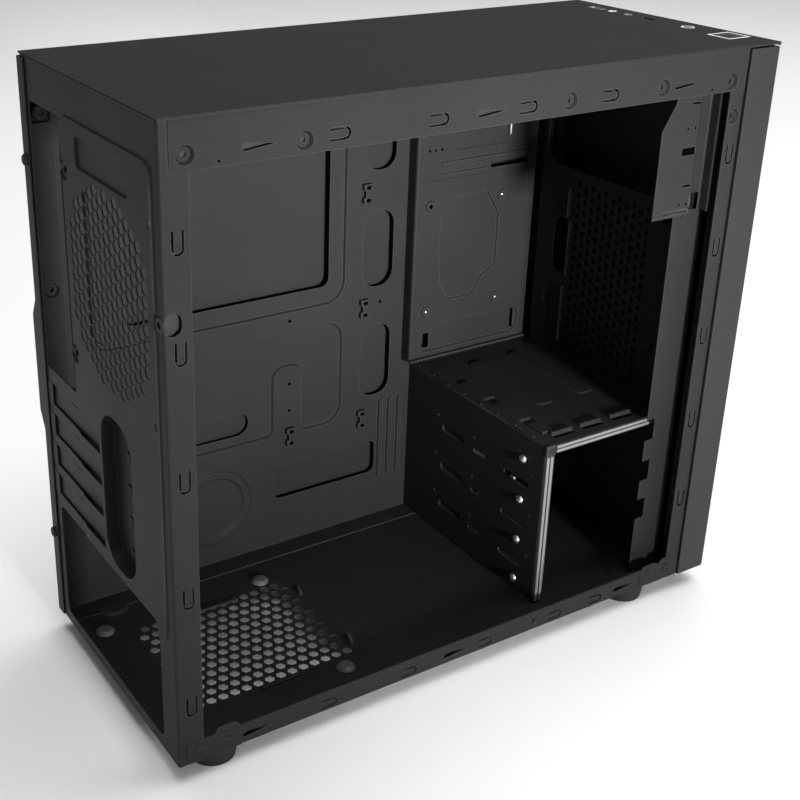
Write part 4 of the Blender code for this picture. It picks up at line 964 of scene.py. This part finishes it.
def make_cage():
    fold = Fold("Z", [(TRAY_X - GAP, CAGE_REAR), (CAGE_LEFT, CAGE_REAR), (CAGE_LEFT, CAGE_REAR - 7)],
                bends=2.2)
    low = body_box("cage_rear_wall")[0][2]

    def at(x, z):
        return fold.s((x, CAGE_REAR)), z

    fold_end = fold.s((CAGE_LEFT, CAGE_REAR - 1.2))
    outline = [(0, low), (fold.end, low), (fold.end, CAGE_TOP - 5.3), (fold_end, CAGE_TOP - 5.3),
               (fold_end, CAGE_TOP), (0, CAGE_TOP)]
    holes, pressings = [], []

    def slot(x0, z0, x1, z1):
        holes.append(pill(*at(x1, z0), *at(x0, z1), steps=4))

    for i in range(4):
        z = 100 - BAY_PITCH * i
        holes.append(disc(*at(-46, z), 1.9, 12))
        for x in (-57, 4, 45):
            holes.append(disc(*at(x, z - 7.5), 1.2, 10))
    for i in range(3):
        z = 83 - BAY_PITCH * i
        slot(-53, z - 2, -28, z + 2)
        slot(-8, z - 1.5, 5, z + 1.5)
    for i in range(3):
        z = 85 - BAY_PITCH * i
        pressings.append(pressing(rectangle(at, 14, z - 3, 40, z + 3), 2.5, -1.2, 1.2))
    groove = fold.end - 2.8
    pressings.append(pressing(box(groove - 1.1, low + 1.5, groove + 1.1, CAGE_TOP - 8), 0.8, -1.3, 0.8))
    wall = sheet("cage_rear_sheet", fold, outline, holes, pressings)
    dress(wall, "black_steel", bevel=0.15)
    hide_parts("cage_rear_wall")

    top_high = body_box("cage_top")[1][2]
    left = body_box("cage_top")[0][0]
    fold = Fold("Y", [(TRAY_X - GAP, top_high), (left, top_high), (left, top_high - 5.8)], bends=1.6)

    def top(x, y):
        return fold.s((x, top_high)), y

    front, rear = body_box("cage_top")[0][1], body_box("cage_top")[1][1]
    outline = [(0, front), (fold.end, front), (fold.end, rear), (0, rear)]
    holes, pressings = [], []
    for x in (-32, 5):
        pressings.append(pressing(rectangle(top, x, -84, x + 30, -73), 2.5, 1.5, 1.8))
    for y in (-100, -135):
        pressings.append(pressing(rectangle(top, -20, y - 14, 60, y), 4, 1.1, 2))
    for y in (-88, -112, -138):
        holes.append(rounded(rectangle(top, -60, y - 9, -56, y + 9), 1.6))
    groove = fold.end - 2.2
    pressings.append(pressing(box(groove - 1.0, front + 1.5, groove + 1.0, rear - 6), 0.7, -1.2, 0.7))
    plate = sheet("cage_top_sheet", fold, outline, holes, pressings)
    dress(plate, "black_steel", bevel=0.15)
    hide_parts("cage_top")

    bm = bmesh.new()
    for x in (-51, -33, -15, 3, 21, 38, 56, 73):
        add_rivet(bm, (x, CAGE_REAR - 2.4, top_high - 0.2), "Z", 1.3, 0.9)
    for y in (-88, -112, -138):
        add_slab(bm, (-56.5, y - 9, top_high - 0.4), (-53.5, y + 9, top_high + 2.2), 0.8)
    add_slab(bm, (-52, -84, top_high - 0.3), (-38, -75, top_high + 1.6), 0.6)
    dress(to_object("cage_trim", bm), "black_steel", bevel=0)
    bm = bmesh.new()
    add_slab(bm, (CAGE_LEFT - 0.7, CAGE_REAR - 7.2, top_high - 7.5),
             (CAGE_LEFT + 2, CAGE_REAR + 0.3, top_high + 0.5), 0.9)
    add_slab(bm, (CAGE_LEFT - 1.4, front - 0.2, top_high - 4.5),
             (CAGE_LEFT + 2, front + 3.5, top_high + 0.6), 1.2)
    dress(to_object("cage_corners", bm), "black_plastic", bevel=0)
    bm = bmesh.new()
    for behind in (1.9, 5.0):
        add_slab(bm, (CAGE_LEFT - 0.5, CAGE_REAR - behind - 1.1, low + 0.6),
                 (CAGE_LEFT + 0.5, CAGE_REAR - behind + 1.1, top_high - 7.8), 0.45)
    for down in (1.5, 4.2):
        add_slab(bm, (left - 0.5, front + 4, top_high - down - 1.0),
                 (left + 0.5, rear - 6.6, top_high - down + 1.0), 0.45)
    # The hems take the lighter grey, a painted highlight.
    dress(to_object("cage_hems", bm), "black_steel", "hem_highlight", bevel=0)
    bm = bmesh.new()
    add_slab(bm, (-40, CAGE_REAR - 0.2, 81.5), (-36, CAGE_REAR + 1.4, 84), 0.5)
    dress(to_object("cage_lug", bm), "bright_steel", bevel=0)


def make_bracket():
    low_corner, high_corner = body_box("upper_drive_bracket")
    face, deep, rail = high_corner.x - SHEET, high_corner.x + 5.2, low_corner.x + 0.3
    rear, front = high_corner.y, low_corner.y
    fold = Fold("Z", [(face, rear), (face, front + 24), (deep, front + 17), (deep, front + 9),
                      (face - 1, front + 9), (face - 1, front + 6), (deep - 3, front + 5.2),
                      (deep - 3, front + 2.2), (rail, front + 1.6), (rail, front)],
                bends=1.2, inner_bend=1.2)
    low, high = low_corner.z, high_corner.z

    def at(y, z):
        return fold.s((face, y)), z

    outline = [(0, low), (fold.end, low), (fold.end, high), (9.5, high), (9.5, 330.6), (0, 314.8)]
    holes, pressings = [], []
    holes.append(rounded(rectangle(at, -139, 298, -152, 302.6), 0.9))
    for z in (329, 279):
        holes.append(rounded(rectangle(at, -143, z - 0.6, -152, z + 0.6), 0.3))
    for z in (314, 267.5):
        for y in (-142, -148):
            holes.append(disc(*at(y, z), 1.0, 8))
    pressings.append(pressing(rectangle(at, -128, 261.8, -152, 265), 1.2, -1.2, 0.9))
    bracket = sheet("upper_bracket_sheet", fold, outline, holes, pressings)
    dress(bracket, "black_steel", bevel=0.15)
    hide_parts("upper_drive_bracket")


# Pieces that keep their CAD shape -----------------------------------


KEPT = {
    "black_steel": (["right_side_panel", "side_screw_upper", "side_screw_lower"]
                    + [f"slot_cover_{i}" for i in range(1, 5)]
                    + [f"slot_screw_{i}" for i in range(1, 5)]
                    + [f"foot_screw_{row}_{side}" for row in ("rear", "front")
                       for side in ("left", "right")]),
    "black_plastic": ["front_bezel", "power_button", "reset_button", "control_housing",
                      "power_switch", "reset_switch", "usb_socket_2"],
    "white_plastic": ["power_light_ring", "reset_ring", "microphone_jack"],
    "grey_plastic": ["headphone_jack"],
    "bright_steel": ["usb_socket_1"] + [f"drive_pin_{i}" for i in range(1, 5)],
    "rubber": [f"foot_{row}_{side}" for row in ("rear", "front") for side in ("left", "right")],
    "circuit_board": ["control_board"],
}
ROUNDER = {"front_bezel": 0.4, "right_side_panel": 0.3}
SMALL_ROUND = 0.15


def keep_cad():
    for kind, names in KEPT.items():
        for name in names:
            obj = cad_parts[name]
            obj.data.materials.clear()
            obj.data.materials.append(MATERIALS[kind])
            weld = obj.modifiers.new("weld", "WELD")
            weld.merge_threshold = 0.02 * MM
            edge = obj.modifiers.new("edges", "BEVEL")
            edge.width = ROUNDER.get(name, SMALL_ROUND) * MM
            edge.segments = 3 if name in ROUNDER else 2
            edge.limit_method = "ANGLE"
            edge.angle_limit = math.radians(40)
            edge.use_clamp_overlap = True
            for polygon in obj.data.polygons:
                polygon.use_smooth = True
            obj.data.set_sharp_from_angle(angle=math.radians(38))
            flatten = obj.modifiers.new("flats", "WEIGHTED_NORMAL")
            flatten.keep_sharp = True


# Floor, light and camera --------------------------------------------


def make_stage():
    bpy.ops.mesh.primitive_plane_add(size=12, location=(0, 0, 0))
    ground = bpy.context.object
    ground.name = "ground"
    material = bpy.data.materials.new("pale_floor")
    material.use_nodes = True
    shader = material.node_tree.nodes["Principled BSDF"]
    shader.inputs["Base Color"].default_value = (0.9, 0.9, 0.9, 1)
    shader.inputs["Roughness"].default_value = 0.9
    ground.data.materials.append(material)
    world = bpy.data.worlds.new("studio")
    world.use_nodes = True
    background = world.node_tree.nodes["Background"]
    background.inputs["Color"].default_value = (1, 1, 1, 1)
    background.inputs["Strength"].default_value = 0.2
    bpy.context.scene.world = world


def add_light(name, place, target, size, power, spread=180):
    data = bpy.data.lights.new(name, "AREA")
    data.spread = math.radians(spread)
    data.shape = "RECTANGLE"
    data.size, data.size_y = size
    data.energy = power
    obj = bpy.data.objects.new(name, data)
    obj.location = place
    obj.rotation_euler = (Vector(target) - Vector(place)).to_track_quat("-Z", "Y").to_euler()
    bpy.context.scene.collection.objects.link(obj)


def make_lights():
    """A wide soft light from above and in front, and a narrow one nearly level from the left."""
    add_light("overhead", (-0.1, -0.8, 3.0), (-0.1, -0.8, 0), (3.2, 3.2), 125)
    add_light("key", (-1.8, 0.1, 0.5), (0, -0.04, 0.29), (0.25, 0.25), 2.7, spread=26)


def make_camera():
    data = bpy.data.cameras.new("camera")
    data.sensor_width = 36
    data.lens = 58.65
    data.shift_x, data.shift_y = 0.0965, -0.0714
    data.clip_start = 0.01
    camera = bpy.data.objects.new("camera", data)
    camera.location = ORIGIN + Vector((-604.7, 437.4, 498.6)) * MM
    camera.rotation_euler = Euler([math.radians(a) for a in (66.657, -0.831, -121.709)], "XYZ")
    bpy.context.scene.collection.objects.link(camera)
    bpy.context.scene.camera = camera
    bpy.context.scene.view_settings.view_transform = "Standard"


make_camera()
make_materials()
make_roof()
make_floor()
make_rear_panel()
make_front_wall()
make_slot_shade_backings()
make_post()
make_tray()
make_ssd_plate()
make_cage()
make_bracket()
keep_cad()
make_stage()
make_lights()
